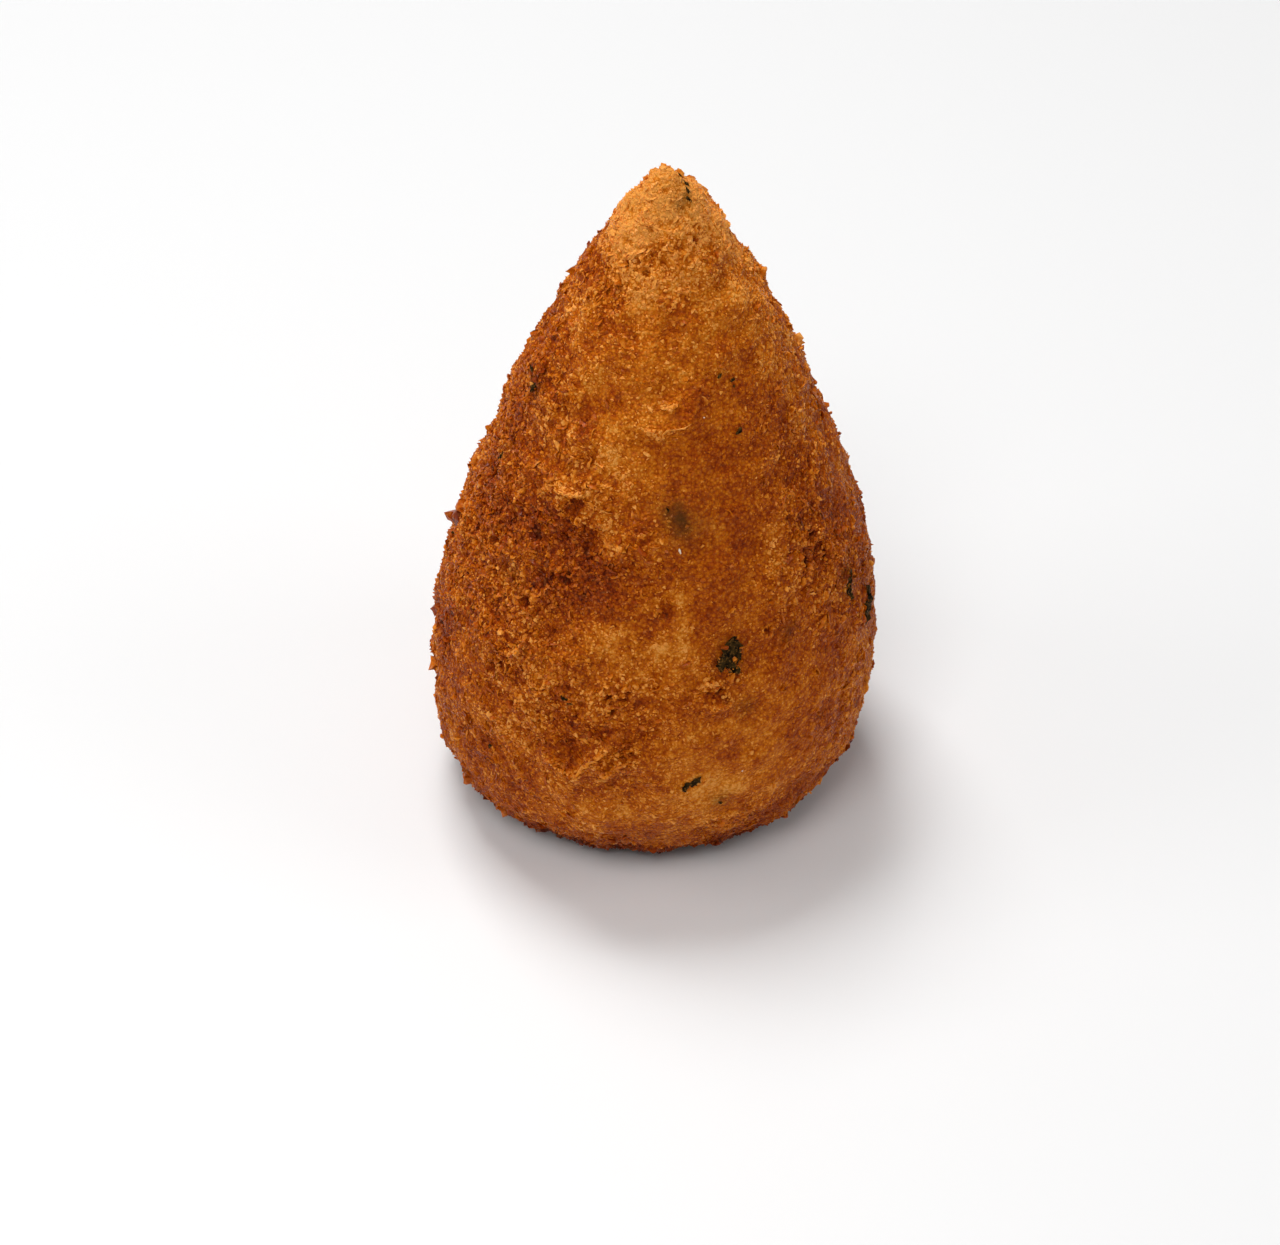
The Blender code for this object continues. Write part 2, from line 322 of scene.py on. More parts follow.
# %% [markdown]
# ## The closed skin
# A cube's six square grids are blown up to a sphere and drawn out to the drop, so the squares stay alike in
# size. The points that two faces share are merged, which closes the skin.

# %% Six grids make a closed net of directions
NET_SQUARES = 128
SAME_POINT = 1e6


def cube_sphere(squares):
    """Directions and square faces: a tangent-spaced grid (a, b) on each face of a cube, with its shared
    points merged."""
    line = np.tan(np.linspace(-math.pi / 4, math.pi / 4, squares + 1))
    a, b = (grid.ravel() for grid in np.meshgrid(line, line, indexing="ij"))
    one = np.ones_like(a)
    sides = [(one, a, b), (-one, b, a), (b, one, a), (a, -one, b), (a, b, one), (b, a, -one)]
    points = np.concatenate([unit(np.stack(side, 1)) for side in sides])
    index = np.arange((squares + 1) ** 2).reshape(squares + 1, squares + 1)
    square = np.stack([index[:-1, :-1], index[1:, :-1], index[1:, 1:], index[:-1, 1:]], -1).reshape(-1, 4)
    faces = np.concatenate([square + side * len(a) for side in range(6)])
    keys = np.round(points * SAME_POINT).astype(np.int64)
    _, first, merged = np.unique(keys, axis=0, return_index=True, return_inverse=True)
    return points[first], merged.ravel()[faces]


net_directions, net_faces = cube_sphere(NET_SQUARES)
net_points = smooth_points(net_directions)
net_normals = outward(net_directions)
net_pixels = pixels_of(net_points)
net_in_view = np.einsum("ij,ij->i", net_normals, camera_place - net_points) > 0
print("net", len(net_points), "points", len(net_faces), "squares")


def seen_at(x, y):
    """The direction of the skin point in view that lies nearest to a pixel of the photograph."""
    away = np.linalg.norm(net_pixels - (x, y), axis=1)
    return net_directions[np.where(net_in_view, away, np.inf).argmin()]


def all_seen_at(rows):
    return np.stack([seen_at(*row[:2]) for row in rows])


# %% [markdown]
# ## How rough each part of the crust is
# On the left the crumb is coarse and open, at the middle right it was pressed smooth, and the rim of the
# foot is crumbly. Each such place is a soft spot, with a slow noise on top.

# %% Soft spots and the roughness map
ROUGH_BASE = 0.45
ROUGH_NOISE = in_metres([1], (0.3, 17, 31))
# Pixel across and down, radius, amount
ROUGH_SPOTS = in_metres(
    [2],
    (470, 560, 19, 0.5), (500, 440, 15, 0.4), (600, 560, 12, 0.25), (545, 720, 12, 0.15),
    (610, 762, 7, 0.25), (660, 320, 15, 0.2), (600, 800, 9, -0.25), (800, 545, 9, 0.3),
    (730, 690, 6, 0.3), (600, 255, 8, 0.2), (700, 540, 13, -0.35), (680, 470, 9, -0.2),
    (690, 300, 10, -0.15), (730, 780, 13, -0.35), (780, 680, 12, -0.2),
)
ROUGH_FOOT = 0.5
ROUGH_FOOT_HEIGHT = 7 * MM
ROUGH_RANGE = (0.1, 1)


def spot(points, direction, radius):
    """A bell curve of the distance to the skin point in a direction."""
    centre = smooth_points(direction[None])
    return np.exp(-((np.linalg.norm(points - centre, axis=1) / radius) ** 2))


def add_spots(total, points, spots):
    """Adds a soft spot for each row of a table to a number for each point."""
    for x, y, radius, amount in spots:
        total += amount * spot(points, seen_at(x, y), radius)
    return total


def roughness_of(points):
    """A base value plus a slow noise, the soft spots and a rough band above the foot, kept in its range."""
    rough = add_noises(np.full(len(points), ROUGH_BASE), points, ROUGH_NOISE)
    rough = add_spots(rough, points, ROUGH_SPOTS)
    rough += ROUGH_FOOT * (1 - soft_step(0, ROUGH_FOOT_HEIGHT, points[:, 2]))
    return np.clip(rough, *ROUGH_RANGE)


net_rough = roughness_of(net_points)
print("roughness from", net_rough.min(), "to", net_rough.max())

# %% [markdown]
# ## The relief of the crust
# Lumps, ledges, pores with a raised rim where steam broke out, and grains. A bump map would show none of it
# on the outline, so it moves the mesh along its normals, by tenths of a millimetre.

# %% Where ridges, pores and seams lie
# Azimuth and height of both ends, height of the ridge, half width
RIDGES = in_metres(
    (1, 3, 4, 5),
    (-28, 26.8, -19, 25.5, 0.9, 1.7), (-19, 25.5, -11, 31.7, 0.9, 1.7), (-12, 27.4, -5, 29.4, 0.7, 1.5),
    (-9, 76.5, 10, 77.5, 0.7, 1.6), (150, 33, 168, 38, 0.9, 1.8), (-162, 65, -143, 61, 0.8, 1.7),
)
# Pores seen in the picture: pixel across and down, radius, depth
PORES = in_metres(
    (2, 3),
    (624, 263, 0.6, 0.8), (636, 260, 0.6, 0.9), (612, 275, 0.5, 0.6), (650, 230, 0.5, 0.6),
    (694, 238, 0.5, 0.6), (536, 532, 1.2, 1), (572, 507, 1.3, 0.9), (526, 602, 0.9, 0.9),
    (566, 578, 1, 0.7), (490, 668, 0.8, 0.8), (500, 666, 0.7, 0.7), (790, 519, 0.8, 0.8),
    (811, 533, 0.9, 0.9), (820, 544, 0.9, 0.7), (828, 553, 0.8, 0.9), (807, 560, 0.8, 0.8),
    (609, 701, 0.7, 0.9), (621, 699, 0.6, 0.9), (611, 714, 0.5, 0.7), (628, 693, 0.5, 0.7),
    (613, 764, 0.7, 0.8), (626, 760, 0.8, 0.8), (635, 754, 0.6, 0.5), (668, 613, 1.1, 0.5),
    (714, 664, 0.6, 0.6), (715, 698, 1.1, 0.7), (721, 691, 0.6, 0.8), (725, 700, 0.6, 0.7),
    (736, 676, 0.7, 0.6), (768, 632, 0.5, 0.7), (712, 823, 0.8, 0.6),
)
# Seams seen in the picture, where the batter's edge curled up: four pixels along the line, height
SEAM_CORNERS = 4
SEAMS = in_metres(
    [8],
    (549, 754, 558, 757, 568, 766, 579, 770, 0.8), (579, 770, 586, 760, 596, 753, 610, 744, 0.7),
    (603, 768, 610, 766, 620, 761, 632, 759, 0.7), (645, 431, 661, 437, 667, 431, 688, 422, 0.5),
    (661, 408, 666, 409, 672, 406, 677, 402, 0.5), (561, 490, 568, 493, 576, 495, 583, 491, 0.6),
    (541, 493, 545, 488, 549, 486, 553, 489, 0.5), (508, 655, 514, 652, 520, 649, 525, 643, 0.6),
    (700, 688, 708, 685, 714, 683, 719, 684, 0.35), (709, 704, 718, 707, 727, 706, 734, 699, 0.35),
)
SEAM_HALF_WIDTH = 0.45 * MM
seam_pixels = np.array([row[:8] for row in SEAMS]).reshape(-1, 2)
seam_heights = np.array([row[8] for row in SEAMS])
seam_corners = smooth_points(all_seen_at(seam_pixels)).reshape(-1, SEAM_CORNERS, 3)
pore_centres = smooth_points(all_seen_at(PORES))


def away_from_line(points, near, far):
    line = far - near
    along = np.clip((points - near) @ line / (line @ line), 0, 1)
    return np.linalg.norm(points - near - along[:, None] * line, axis=1)


def ridge_relief(points):
    """A bell curve of the distance to the line between a ridge's two ends."""
    relief = np.zeros(len(points))
    for *ends, depth, half_width in RIDGES:
        near, far = smooth_points(np.stack([direction_at(*ends[:2]), direction_at(*ends[2:])]))
        relief += depth * np.exp(-((away_from_line(points, near, far) / half_width) ** 2))
    return relief


def seam_relief(points):
    """The highest of the narrow bell curves along each part of each seam."""
    relief = np.zeros(len(points))
    for corners, height in zip(seam_corners, seam_heights):
        for near, far in zip(corners, corners[1:]):
            away = away_from_line(points, near, far)
            relief = np.maximum(relief, height * np.exp(-((away / SEAM_HALF_WIDTH) ** 2)))
    return relief


print(len(RIDGES), "ridges,", len(PORES), "pores and", len(SEAMS), "seams")

# %% [markdown]
# ## One formula for the crust
# Broad crags come first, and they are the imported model's own. The rest is finer than its facets. A warp
# bends the space it is measured in, so that pores don't look drawn with a compass.

# %% Lumps, ledges, pores and grains
CRAGS = in_metres((0, 1), (0.45, 8.0, 11), (0.65, 4.2, 12))
WARPS = in_metres((0, 1), (0.5, 2.2, 41), (0.3, 0.9, 51))
LEDGE_DEPTH, LEDGE_CELL = 0.3 * MM, 6.5 * MM
LEDGE_LEVEL, LEDGE_BLUR = 0.12, 0.05
LUMP_DEPTH, LUMP_CELL = 0.3 * MM, 2.0 * MM
CRATER_CELL = 1.9 * MM
CRATER_RADIUS, CRATER_DEPTH, CRATER_RIM = 0.5 * MM, 0.55 * MM, 0.12 * MM
CRATER_CHANCE = (0.3, 0.7)
WEB_DEPTH, WEB_WIDTH = 0.2 * MM, 0.35 * MM
GRAIN_DEPTH, GRAIN_CELL = 0.22 * MM, 1.0 * MM
SAND_DEPTH, SAND_CELL = 0.2 * MM, 0.85 * MM
SMOOTH_GRAIN = 0.45
PORE_DEPTH = 0.75
PORE_RIM = 0.3
RIM_PLACE, RIM_WIDTH = 1.5, 0.4
FADE_HEIGHT = 3.5 * MM
INSET = 0.3 * MM
TIP_HEIGHTS = (96 * MM, 103 * MM)


def bowl_and_rim(away, radius, depth, rim):
    """A crater: a bell-shaped bowl, and a narrow raised ring just outside it."""
    bowl = np.exp(-((away / radius) ** 2))
    ring = np.exp(-(((away - RIM_PLACE * radius) / (RIM_WIDTH * radius)) ** 2))
    return rim * ring - PORE_DEPTH * depth * bowl


def fine_relief(points, rough):
    """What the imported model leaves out: ledges (a noise cut off sharply), small lumps, pores (cell noise, as
    craters in half of the cells), a web (raised borders between cells), grains (small cell noise), and the
    pores and seams seen in the picture."""
    warped = warped_by(points, WARPS)
    step = lattice_noise(warped, LEDGE_CELL, 44) - LEDGE_LEVEL
    ledge = soft_step(-LEDGE_BLUR, LEDGE_BLUR, step) * LEDGE_DEPTH
    lumps = LUMP_DEPTH * lattice_noise(points, LUMP_CELL, 48)
    near, second, number = cell_noise(warped, CRATER_CELL, 45)
    crater = bowl_and_rim(near, CRATER_RADIUS, CRATER_DEPTH, CRATER_RIM) * soft_step(*CRATER_CHANCE, number)
    web = WEB_DEPTH * np.exp(-(((second - near) / WEB_WIDTH) ** 2))
    near, _, number = cell_noise(points, GRAIN_CELL, 46)
    grain = GRAIN_DEPTH * (0.5 - near / GRAIN_CELL) * (0.5 + number)
    sand = SAND_DEPTH * lattice_noise(points, SAND_CELL, 47)
    relief = rough * (ledge + lumps + crater + web)
    relief += (SMOOTH_GRAIN + (1 - SMOOTH_GRAIN) * rough) * (grain + sand)
    for centre, (*_, radius, depth) in zip(pore_centres, PORES):
        away = np.linalg.norm(warped - centre, axis=1)
        relief += bowl_and_rim(away, radius, depth, PORE_RIM * depth)
    return relief + seam_relief(warped)


def crust_points(directions):
    """The smooth drop moved along its normals by the relief, less an inset that the crumbs fill again. Both
    fade out at the foot, and the inset at the tip. Also gives the fine relief by itself."""
    points = smooth_points(directions)
    broad = add_noises(ridge_relief(points), points, CRAGS)
    fine = fine_relief(points, roughness_of(points))
    fade = soft_step(0, FADE_HEIGHT, points[:, 2])
    inset = INSET * (1 - soft_step(*TIP_HEIGHTS, points[:, 2]))
    return points + outward(directions) * (fade * (broad + fine - inset))[:, None], fine * fade


crust_places, crust_relief = crust_points(net_directions)
print("fine relief", np.round(np.percentile(crust_relief, [1, 50, 99]) / MM, 2), "mm")

# %% [markdown]
# ## How far each part is fried, and painted shade
# The tip stays pale gold and the left flank is red brown. A number on each point, toast, says it: from 0 for
# pale gold to 1 for dark brown. Painted highlight and shade are added to the same number: paler on crests and
# crumb tops, darker in the gaps under rough crumb, in pores and at the feet of crumbs, in one shadowed spot,
# and partly in the band above the foot. Its soft spots lie in warped space, so their borders wander.

# %% The toast map
TOAST_BASE = 0.48
MOTTLES = in_metres([1], (0.11, 13, 61), (0.12, 5, 62), (0.07, 2.6, 63))
WANDER = in_metres((0, 1), (8, 9, 64), (3, 2.8, 67))
# Pixel across and down, radius, amount
TOAST_AND_SHADOW_SPOTS = in_metres(
    [2],
    (661, 172, 11, -0.36), (640, 245, 11, -0.32), (680, 320, 9, -0.14), (680, 286, 6, 0.2),
    (738, 345, 7, -0.32), (808, 320, 5, -0.1), (556, 352, 5, 0.2), (592, 402, 5, -0.16),
    (580, 478, 6, -0.12), (484, 497, 6, 0.22), (700, 579, 5, 0.08), (500, 690, 5, -0.08),
    (790, 520, 5, -0.08), (530, 506, 5, -0.22), (448, 597, 6, 0.27), (666, 614, 4, -0.38),
    (646, 722, 6, -0.18), (736, 722, 4, 0.18), (556, 762, 5, -0.12), (556, 688, 4, -0.1),
    (650, 798, 5, -0.14), (752, 795, 6, -0.16), (682, 833, 4, 0.12), (590, 290, 7, 0.04),
    (520, 399, 4, 0.12), (592, 399, 3, -0.12), (736, 535, 4, -0.12), (600, 831, 5, -0.14),
    # The spot at 668, 422 is painted shadow between two curls of crust.
    (664, 291, 3, 0.1), (736, 723, 3, 0.08), (668, 422, 2.5, 0.12), (650, 340, 8, -0.08),
    (620, 460, 7, -0.2), (705, 395, 5, 0.12), (530, 420, 8, 0.1), (535, 530, 7, 0.14),
    (500, 590, 12, 0.1), (575, 560, 8, 0.1), (610, 590, 8, 0.14), (700, 475, 9, -0.06),
    (640, 655, 8, -0.17), (800, 680, 8, -0.14), (600, 745, 7, 0.12), (470, 740, 10, 0.1),
    (715, 785, 10, -0.34), (610, 804, 6, -0.22), (800, 520, 9, 0.12), (855, 560, 9, 0.12),
)
# Azimuth, height, radius, amount
TOAST_ROUND_THE_BACK = in_metres(
    (1, 2),
    (180, 46, 14, 0.2), (150, 74, 12, -0.2), (-148, 27, 12, -0.2), (118, 30, 10, 0.16),
    (-118, 56, 10, 0.14), (172, 13, 9, -0.2), (-165, 84, 9, 0.12), (178, 100, 9, -0.2),
)
# A darker band above the foot: partly browner frying, partly painted shade near the table.
FOOT_BROWNING_AND_SHADE = 0.55
FOOT_BROWNING_AND_SHADE_HEIGHTS = (1 * MM, 8 * MM)
# Painted shade: rough crust is made darker, so the gaps between its crumbs look shaded.
GAP_SHADE = 0.12


def toast_and_shade_of(points):
    """The base value with three slow noises, the soft spots with wandering borders, and a darker rim just
    above the foot, partly browner frying and partly painted shade near the table."""
    toast = add_noises(np.full(len(points), TOAST_BASE), points, MOTTLES)
    wandered = warped_by(points, WANDER)
    toast = add_spots(toast, wandered, TOAST_AND_SHADOW_SPOTS)
    for azimuth, height, radius, amount in TOAST_ROUND_THE_BACK:
        toast += amount * spot(wandered, direction_at(azimuth, height), radius)
    toast += FOOT_BROWNING_AND_SHADE * (1 - soft_step(*FOOT_BROWNING_AND_SHADE_HEIGHTS, points[:, 2]))
    return np.clip(toast, 0, 1)


# Painted shade in the gaps between crumbs, more where the crust is rough.
crust_toast_and_gap_shade = toast_and_shade_of(net_points) + GAP_SHADE * net_rough
print("toast", np.round(np.percentile(crust_toast_and_gap_shade, [1, 50, 99]), 2))

# %% [markdown]
# ## Parsley under the crust
# Where a piece of chopped parsley lies just under the crumb, it shows as an olive shadow. That is a second
# number on each point, called herb.

# %% The herb map
HERB_NOISE = in_metres([1], (0.7, 1.6, 71))
# Pixel across and down, radius, amount
HERB_SHADOWS = in_metres(
    [2],
    (671, 509, 1.6, 0.5), (679, 521, 1.6, 0.4), (687, 534, 1.5, 0.35), (681, 522, 3.6, 0.3),
    (679, 203, 2.2, 0.45), (536, 388, 1.8, 0.5), (731, 655, 3, 0.35), (791, 633, 1.8, 0.35),
    (746, 710, 1.8, 0.35), (720, 802, 1.9, 0.4), (512, 573, 2.2, 0.35), (845, 569, 1.5, 0.45),
    (850, 588, 1.8, 0.6), (504, 452, 1.8, 0.35),
)


def herb_of(points):
    herb = add_spots(np.zeros(len(points)), points, HERB_SHADOWS)
    return np.clip(herb * add_noises(np.ones(len(points)), points, HERB_NOISE), 0, 1)


crust_herb = herb_of(net_points)
print("parsley shadows", len(HERB_SHADOWS))

# %% [markdown]
# ## The colours of fried crumb
# One ramp from pale gold to dark red brown serves the crust and every crumb. Base colours are linear, so
# each is written as it looks on a screen and converted. A small class keeps the node trees short.

# %% Colours, and a recipe that adds nodes
TOAST_COLOURS = (
    (0.00, (236, 157, 68)),
    (0.12, (219, 130, 34)),
    (0.25, (199, 104, 6)),
    (0.50, (164, 69, 0)),
    (0.75, (130, 44, 0)),
    (1.00, (82, 20, 0)),
)
OLIVE = (90, 50, 10)
# Paler, greyer specks: partly dust, partly painted highlight of the fat's glints.
DUST_AND_SHEEN_COLOUR = (218, 144, 76)
DUST_AND_SHEEN_SCALE = 1400
DUST_AND_SHEEN_RANGE = (0.5, 0.75)


def linear(screen_colour):
    """A screen colour from 0 to 255 as a linear colour with alpha."""
    share = np.array(screen_colour) / 255
    value = np.where(share <= 0.04045, share / 12.92, ((share + 0.055) / 1.055) ** 2.4)
    return (*value, 1.0)


class Recipe:
    """A material whose methods add nodes. Any value may be a number or another node's result."""

    def __init__(self, name):
        self.material = bpy.data.materials.new(name)
        self.material.use_nodes = True
        self.tree = self.material.node_tree
        self.shader = self.tree.nodes["Principled BSDF"]
        self.place = self.node("ShaderNodeTexCoord", {}).outputs["Object"]

    def fill(self, node, inputs):
        """Sets a node's inputs, each by its name or place."""
        for place, value in inputs.items():
            if isinstance(value, bpy.types.NodeSocket):
                self.tree.links.new(value, node.inputs[place])
            else:
                node.inputs[place].default_value = value
        return node

    def node(self, kind, inputs, **settings):
        node = self.tree.nodes.new(kind)
        for name, value in settings.items():
            setattr(node, name, value)
        return self.fill(node, inputs)

    def noise(self, scale, detail):
        inputs = {"Vector": self.place, "Scale": scale, "Detail": detail}
        return self.node("ShaderNodeTexNoise", inputs).outputs["Fac"]

    def number(self, name):
        return self.node("ShaderNodeAttribute", {}, attribute_name=name).outputs["Fac"]

    def math(self, operation, *values):
        return self.node("ShaderNodeMath", dict(enumerate(values)), operation=operation).outputs[0]

    def add_times(self, total, value, factor):
        return self.math("MULTIPLY_ADD", value, factor, total)

    def spread(self, value, start=0, end=1, least=0, most=1):
        """The range from start to end spread over the range from least to most."""
        return self.node("ShaderNodeMapRange", dict(enumerate((value, start, end, least, most)))).outputs[0]

    def blend(self, share, first, second):
        """The first colour where share is 0, the second where it is 1."""
        inputs = {"Factor": share, 6: first, 7: linear(second)}
        return self.node("ShaderNodeMix", inputs, data_type="RGBA").outputs[2]

    def bump(self, height, distance, strength=1):
        inputs = {"Height": height, "Distance": distance, "Strength": strength}
        return self.node("ShaderNodeBump", inputs).outputs[0]

    def fried(self, toast, dust_and_sheen):
        """The ramp's colour for a toast number, with paler and greyer specks up to a share, partly dust and
        partly painted highlight, and olive where parsley lies below."""
        ramp = self.node("ShaderNodeValToRGB", {0: toast})
        stops = ramp.color_ramp.elements
        for stop in list(stops)[1:]:
            stops.remove(stop)
        stops[0].position, stops[0].color = TOAST_COLOURS[0][0], linear(TOAST_COLOURS[0][1])
        for place, colour in TOAST_COLOURS[1:]:
            stops.new(place).color = linear(colour)
        # Paler, greyer specks, partly dust and partly painted highlight.
        specks = self.spread(self.noise(DUST_AND_SHEEN_SCALE, 5), *DUST_AND_SHEEN_RANGE, 0, dust_and_sheen)
        colour = self.blend(specks, ramp.outputs["Color"], DUST_AND_SHEEN_COLOUR)
        return self.blend(self.number("herb"), colour, OLIVE)

    def finish(self, colour, roughness, shine, bump):
        self.fill(self.shader, {"Base Color": colour, "Roughness": roughness, "Specular IOR Level": shine,
                                "Normal": bump})
        return self.material


# %% [markdown]
# ## The crust's material
# Noises shift the toast by grains, less where the crust is pale. A crest is painted paler and a pore darker,
# as painted highlight and painted shade, and each bead's middle is painted paler than its border in the same
# way. The fat leaves a faint, broad shine. A fine bump adds what is smaller than the mesh.

# %% The crust's material and mesh
BROAD_SCALE, GRAIN_SCALE, BEAD_SCALE, FINE_SCALE = 420, 1500, 2300, 2600
# The bead term paints each bead paler at its middle and darker at its border: painted highlight and shade.
BROAD_SHIFT, GRAIN_SHIFT, BEAD_LIGHT_AND_BORDER_SHADE, BEAD_SPREAD = 0.3, 0.5, 0.4, 0.3
# Painted highlight on crests and painted shade in pores.
CREST_LIGHT_AND_PORE_SHADE = 0.21
CREST_UNIT, CREST_LIMITS = 0.3 * MM, (-1.2, 0.8)
PALE_CALM = 0.6
CRUST_DUST_AND_SHEEN = 0.12
CRUST_ROUGHNESS = (0.3, 0.5)
CRUST_SHINE = 0.06
CRUST_BUMP, CRUST_BUMP_STRENGTH = 0.3 * MM, 0.8


def crust_material():
    recipe = Recipe("fried_crust")
    broad, grain = recipe.noise(BROAD_SCALE, 4), recipe.noise(GRAIN_SCALE, 3)
    inputs = {"Vector": recipe.place, "Scale": BEAD_SCALE, "Randomness": 1}
    beads = recipe.node("ShaderNodeTexVoronoi", inputs)
    bead_number = recipe.node("ShaderNodeSeparateColor", {0: beads.outputs["Color"]}).outputs[0]
    shift = -(BROAD_SHIFT + GRAIN_SHIFT + BEAD_LIGHT_AND_BORDER_SHADE + BEAD_SPREAD) / 2
    # Painted highlight at each bead's middle, painted shade at its border.
    shift = recipe.add_times(shift, beads.outputs["Distance"], BEAD_LIGHT_AND_BORDER_SHADE)
    shift = recipe.add_times(shift, bead_number, BEAD_SPREAD)
    shift = recipe.add_times(shift, broad, BROAD_SHIFT)
    shift = recipe.add_times(shift, grain, GRAIN_SHIFT)
    toast = recipe.number("toast")
    loudness = recipe.add_times(PALE_CALM, toast, 2 * (1 - PALE_CALM))
    toast = recipe.add_times(toast, shift, loudness)
    # Painted highlight on crests and painted shade in pores.
    toast = recipe.add_times(toast, recipe.number("relief"), -CREST_LIGHT_AND_PORE_SHADE)
    roughness = recipe.spread(broad, 0, 1, *CRUST_ROUGHNESS)
    height = recipe.math("SUBTRACT", recipe.noise(FINE_SCALE, 4), beads.outputs["Distance"])
    bump = recipe.bump(height, CRUST_BUMP, CRUST_BUMP_STRENGTH)
    return recipe.finish(recipe.fried(toast, CRUST_DUST_AND_SHEEN), roughness, CRUST_SHINE, bump)


def keep_number(mesh, label, values):
    mesh.attributes.new(label, "FLOAT", "POINT").data.foreach_set("value", np.asarray(values, np.float32))


def make_piece(name, points, faces, material, numbers, smooth=True):
    """A mesh object at the origin from arrays of points and faces, with named numbers on its points. It
    rides on the one body and takes the given material."""
    mesh = bpy.data.meshes.new(name)
    mesh.from_pydata(points, [], faces)
    mesh.update()
    for label, values in numbers.items():
        keep_number(mesh, label, values)
    if smooth:
        mesh.shade_smooth()
    mesh.materials.append(material)
    piece = add_object(name, mesh)
    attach(piece, "root")
    print(name, len(faces), "faces")
    return piece


def crest_of(relief):
    """The relief as a number, below 0 in a pore and above 0 on a crest."""
    return np.clip(relief / CREST_UNIT, *CREST_LIMITS)


crust_numbers = {"toast": crust_toast_and_gap_shade, "relief": crest_of(crust_relief), "herb": crust_herb}
crust = make_piece("crust", crust_places, net_faces, crust_material(), crust_numbers)
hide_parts("coxinha")

# %% [markdown]
# ## Small balls to knock into crumbs
# Crushed bread makes blunt chunks. An exported model needs them as real mesh, so one small ball of faces is
# knocked out of shape, stretched, turned and placed thousands of times by whole-array sums.

# %% Balls of eight, twenty and eighty faces
GOLDEN_RATIO = (1 + math.sqrt(5)) / 2
ONE_EDGE = 2.1


def outward_faces(corners, faces):
    """Faces turned so that their normals point away from the middle."""
    a, b, c = (corners[faces[:, i]] for i in range(3))
    inward = np.einsum("ij,ij->i", np.cross(b - a, c - a), a) < 0
    return np.where(inward[:, None], faces[:, ::-1], faces)


def octahedron():
    """Six corners on the axes, and a face for each choice of one end of every axis."""
    corners = np.array([[1, 0, 0], [-1, 0, 0], [0, 1, 0], [0, -1, 0], [0, 0, 1], [0, 0, -1]], float)
    faces = np.array([[a, b, c] for a in (0, 1) for b in (2, 3) for c in (4, 5)])
    return corners, outward_faces(corners, faces)


def icosahedron():
    """Twelve corners, four on each of three golden rectangles. A face joins corners one edge apart."""
    ends = [(s, t * GOLDEN_RATIO) for s in (-1, 1) for t in (-1, 1)]
    corners = [(0, s, t) for s, t in ends] + [(s, t, 0) for s, t in ends] + [(t, 0, s) for s, t in ends]
    corners = np.array(corners, float)
    near = np.linalg.norm(corners[:, None] - corners[None], axis=2) < ONE_EDGE
    faces = [(a, b, c) for a in range(12) for b in range(a + 1, 12) for c in range(b + 1, 12)
             if near[a, b] and near[b, c] and near[a, c]]
    return unit(corners), outward_faces(corners, np.array(faces))


def split_faces(corners, faces):
    """Each face cut into four at the middles of its edges, which are pushed out to the sphere."""
    edges = np.sort(faces[:, [[0, 1], [1, 2], [2, 0]]], axis=2).reshape(-1, 2)
    pairs, place = np.unique(edges, axis=0, return_inverse=True)
    middle = place.reshape(-1, 3) + len(corners)
    corners = np.concatenate([corners, unit(corners[pairs].mean(axis=1))])
    (a, b, c), (ab, bc, ca) = faces.T, middle.T
    parts = [(a, ab, ca), (ab, b, bc), (ca, bc, c), (ab, bc, ca)]
    return corners, np.concatenate([np.stack(part, 1) for part in parts])


def random_turns(draw, count):
    w, x, y, z = unit(draw.normal(size=(count, 4))).T
    rows = [[1 - 2 * (y * y + z * z), 2 * (x * y - z * w), 2 * (x * z + y * w)],
            [2 * (x * y + z * w), 1 - 2 * (x * x + z * z), 2 * (y * z - x * w)],
            [2 * (x * z - y * w), 2 * (y * z + x * w), 1 - 2 * (x * x + y * y)]]
    return np.moveaxis(np.array(rows), 2, 0)


def repeated(faces, corners, count):
    """The faces of one small shape, repeated for each of many joined shapes."""
    return (faces[None] + corners * np.arange(count)[:, None, None]).reshape(-1, 3)


lump = split_faces(*icosahedron())
print("faces of the balls", len(octahedron()[1]), len(icosahedron()[1]), len(lump[1]))

# %% [markdown]
# ## The crumbs' material
# The crust's colours again, with a finer noise, a number called crest that paints a crumb's top paler and its
# foot darker as painted highlight and shade, and a stronger shine, because crumbs stand out and hold a film of
# fat. A few grains are near white.

# %% The crumbs' material
CRUMB_GRAIN_SCALE = 1900
CRUMB_TOP_LIGHT_AND_FOOT_SHADE = 0.16
CRUMB_DUST_AND_SHEEN = 0.35
CRUMB_ROUGHNESS, CRUMB_SHINE = 0.3, 0.11
CRUMB_BUMP, CRUMB_BUMP_STRENGTH = 0.2 * MM, 0.5
# Near white, for a few single grains.
NEAR_WHITE = (228, 208, 186)


def crumb_material():
    recipe = Recipe("breadcrumbs")
    grain = recipe.noise(CRUMB_GRAIN_SCALE, 2)
    toast = recipe.math("SUBTRACT", recipe.number("toast"), GRAIN_SHIFT / 2)
    toast = recipe.add_times(toast, grain, GRAIN_SHIFT)
    # Painted highlight on each crumb's top and painted shade at its foot.
    toast = recipe.add_times(toast, recipe.number("crest"), -CRUMB_TOP_LIGHT_AND_FOOT_SHADE)
    colour = recipe.blend(recipe.number("pale"), recipe.fried(toast, CRUMB_DUST_AND_SHEEN), NEAR_WHITE)
    bump = recipe.bump(grain, CRUMB_BUMP, CRUMB_BUMP_STRENGTH)
    return recipe.finish(colour, CRUMB_ROUGHNESS, CRUMB_SHINE, bump)


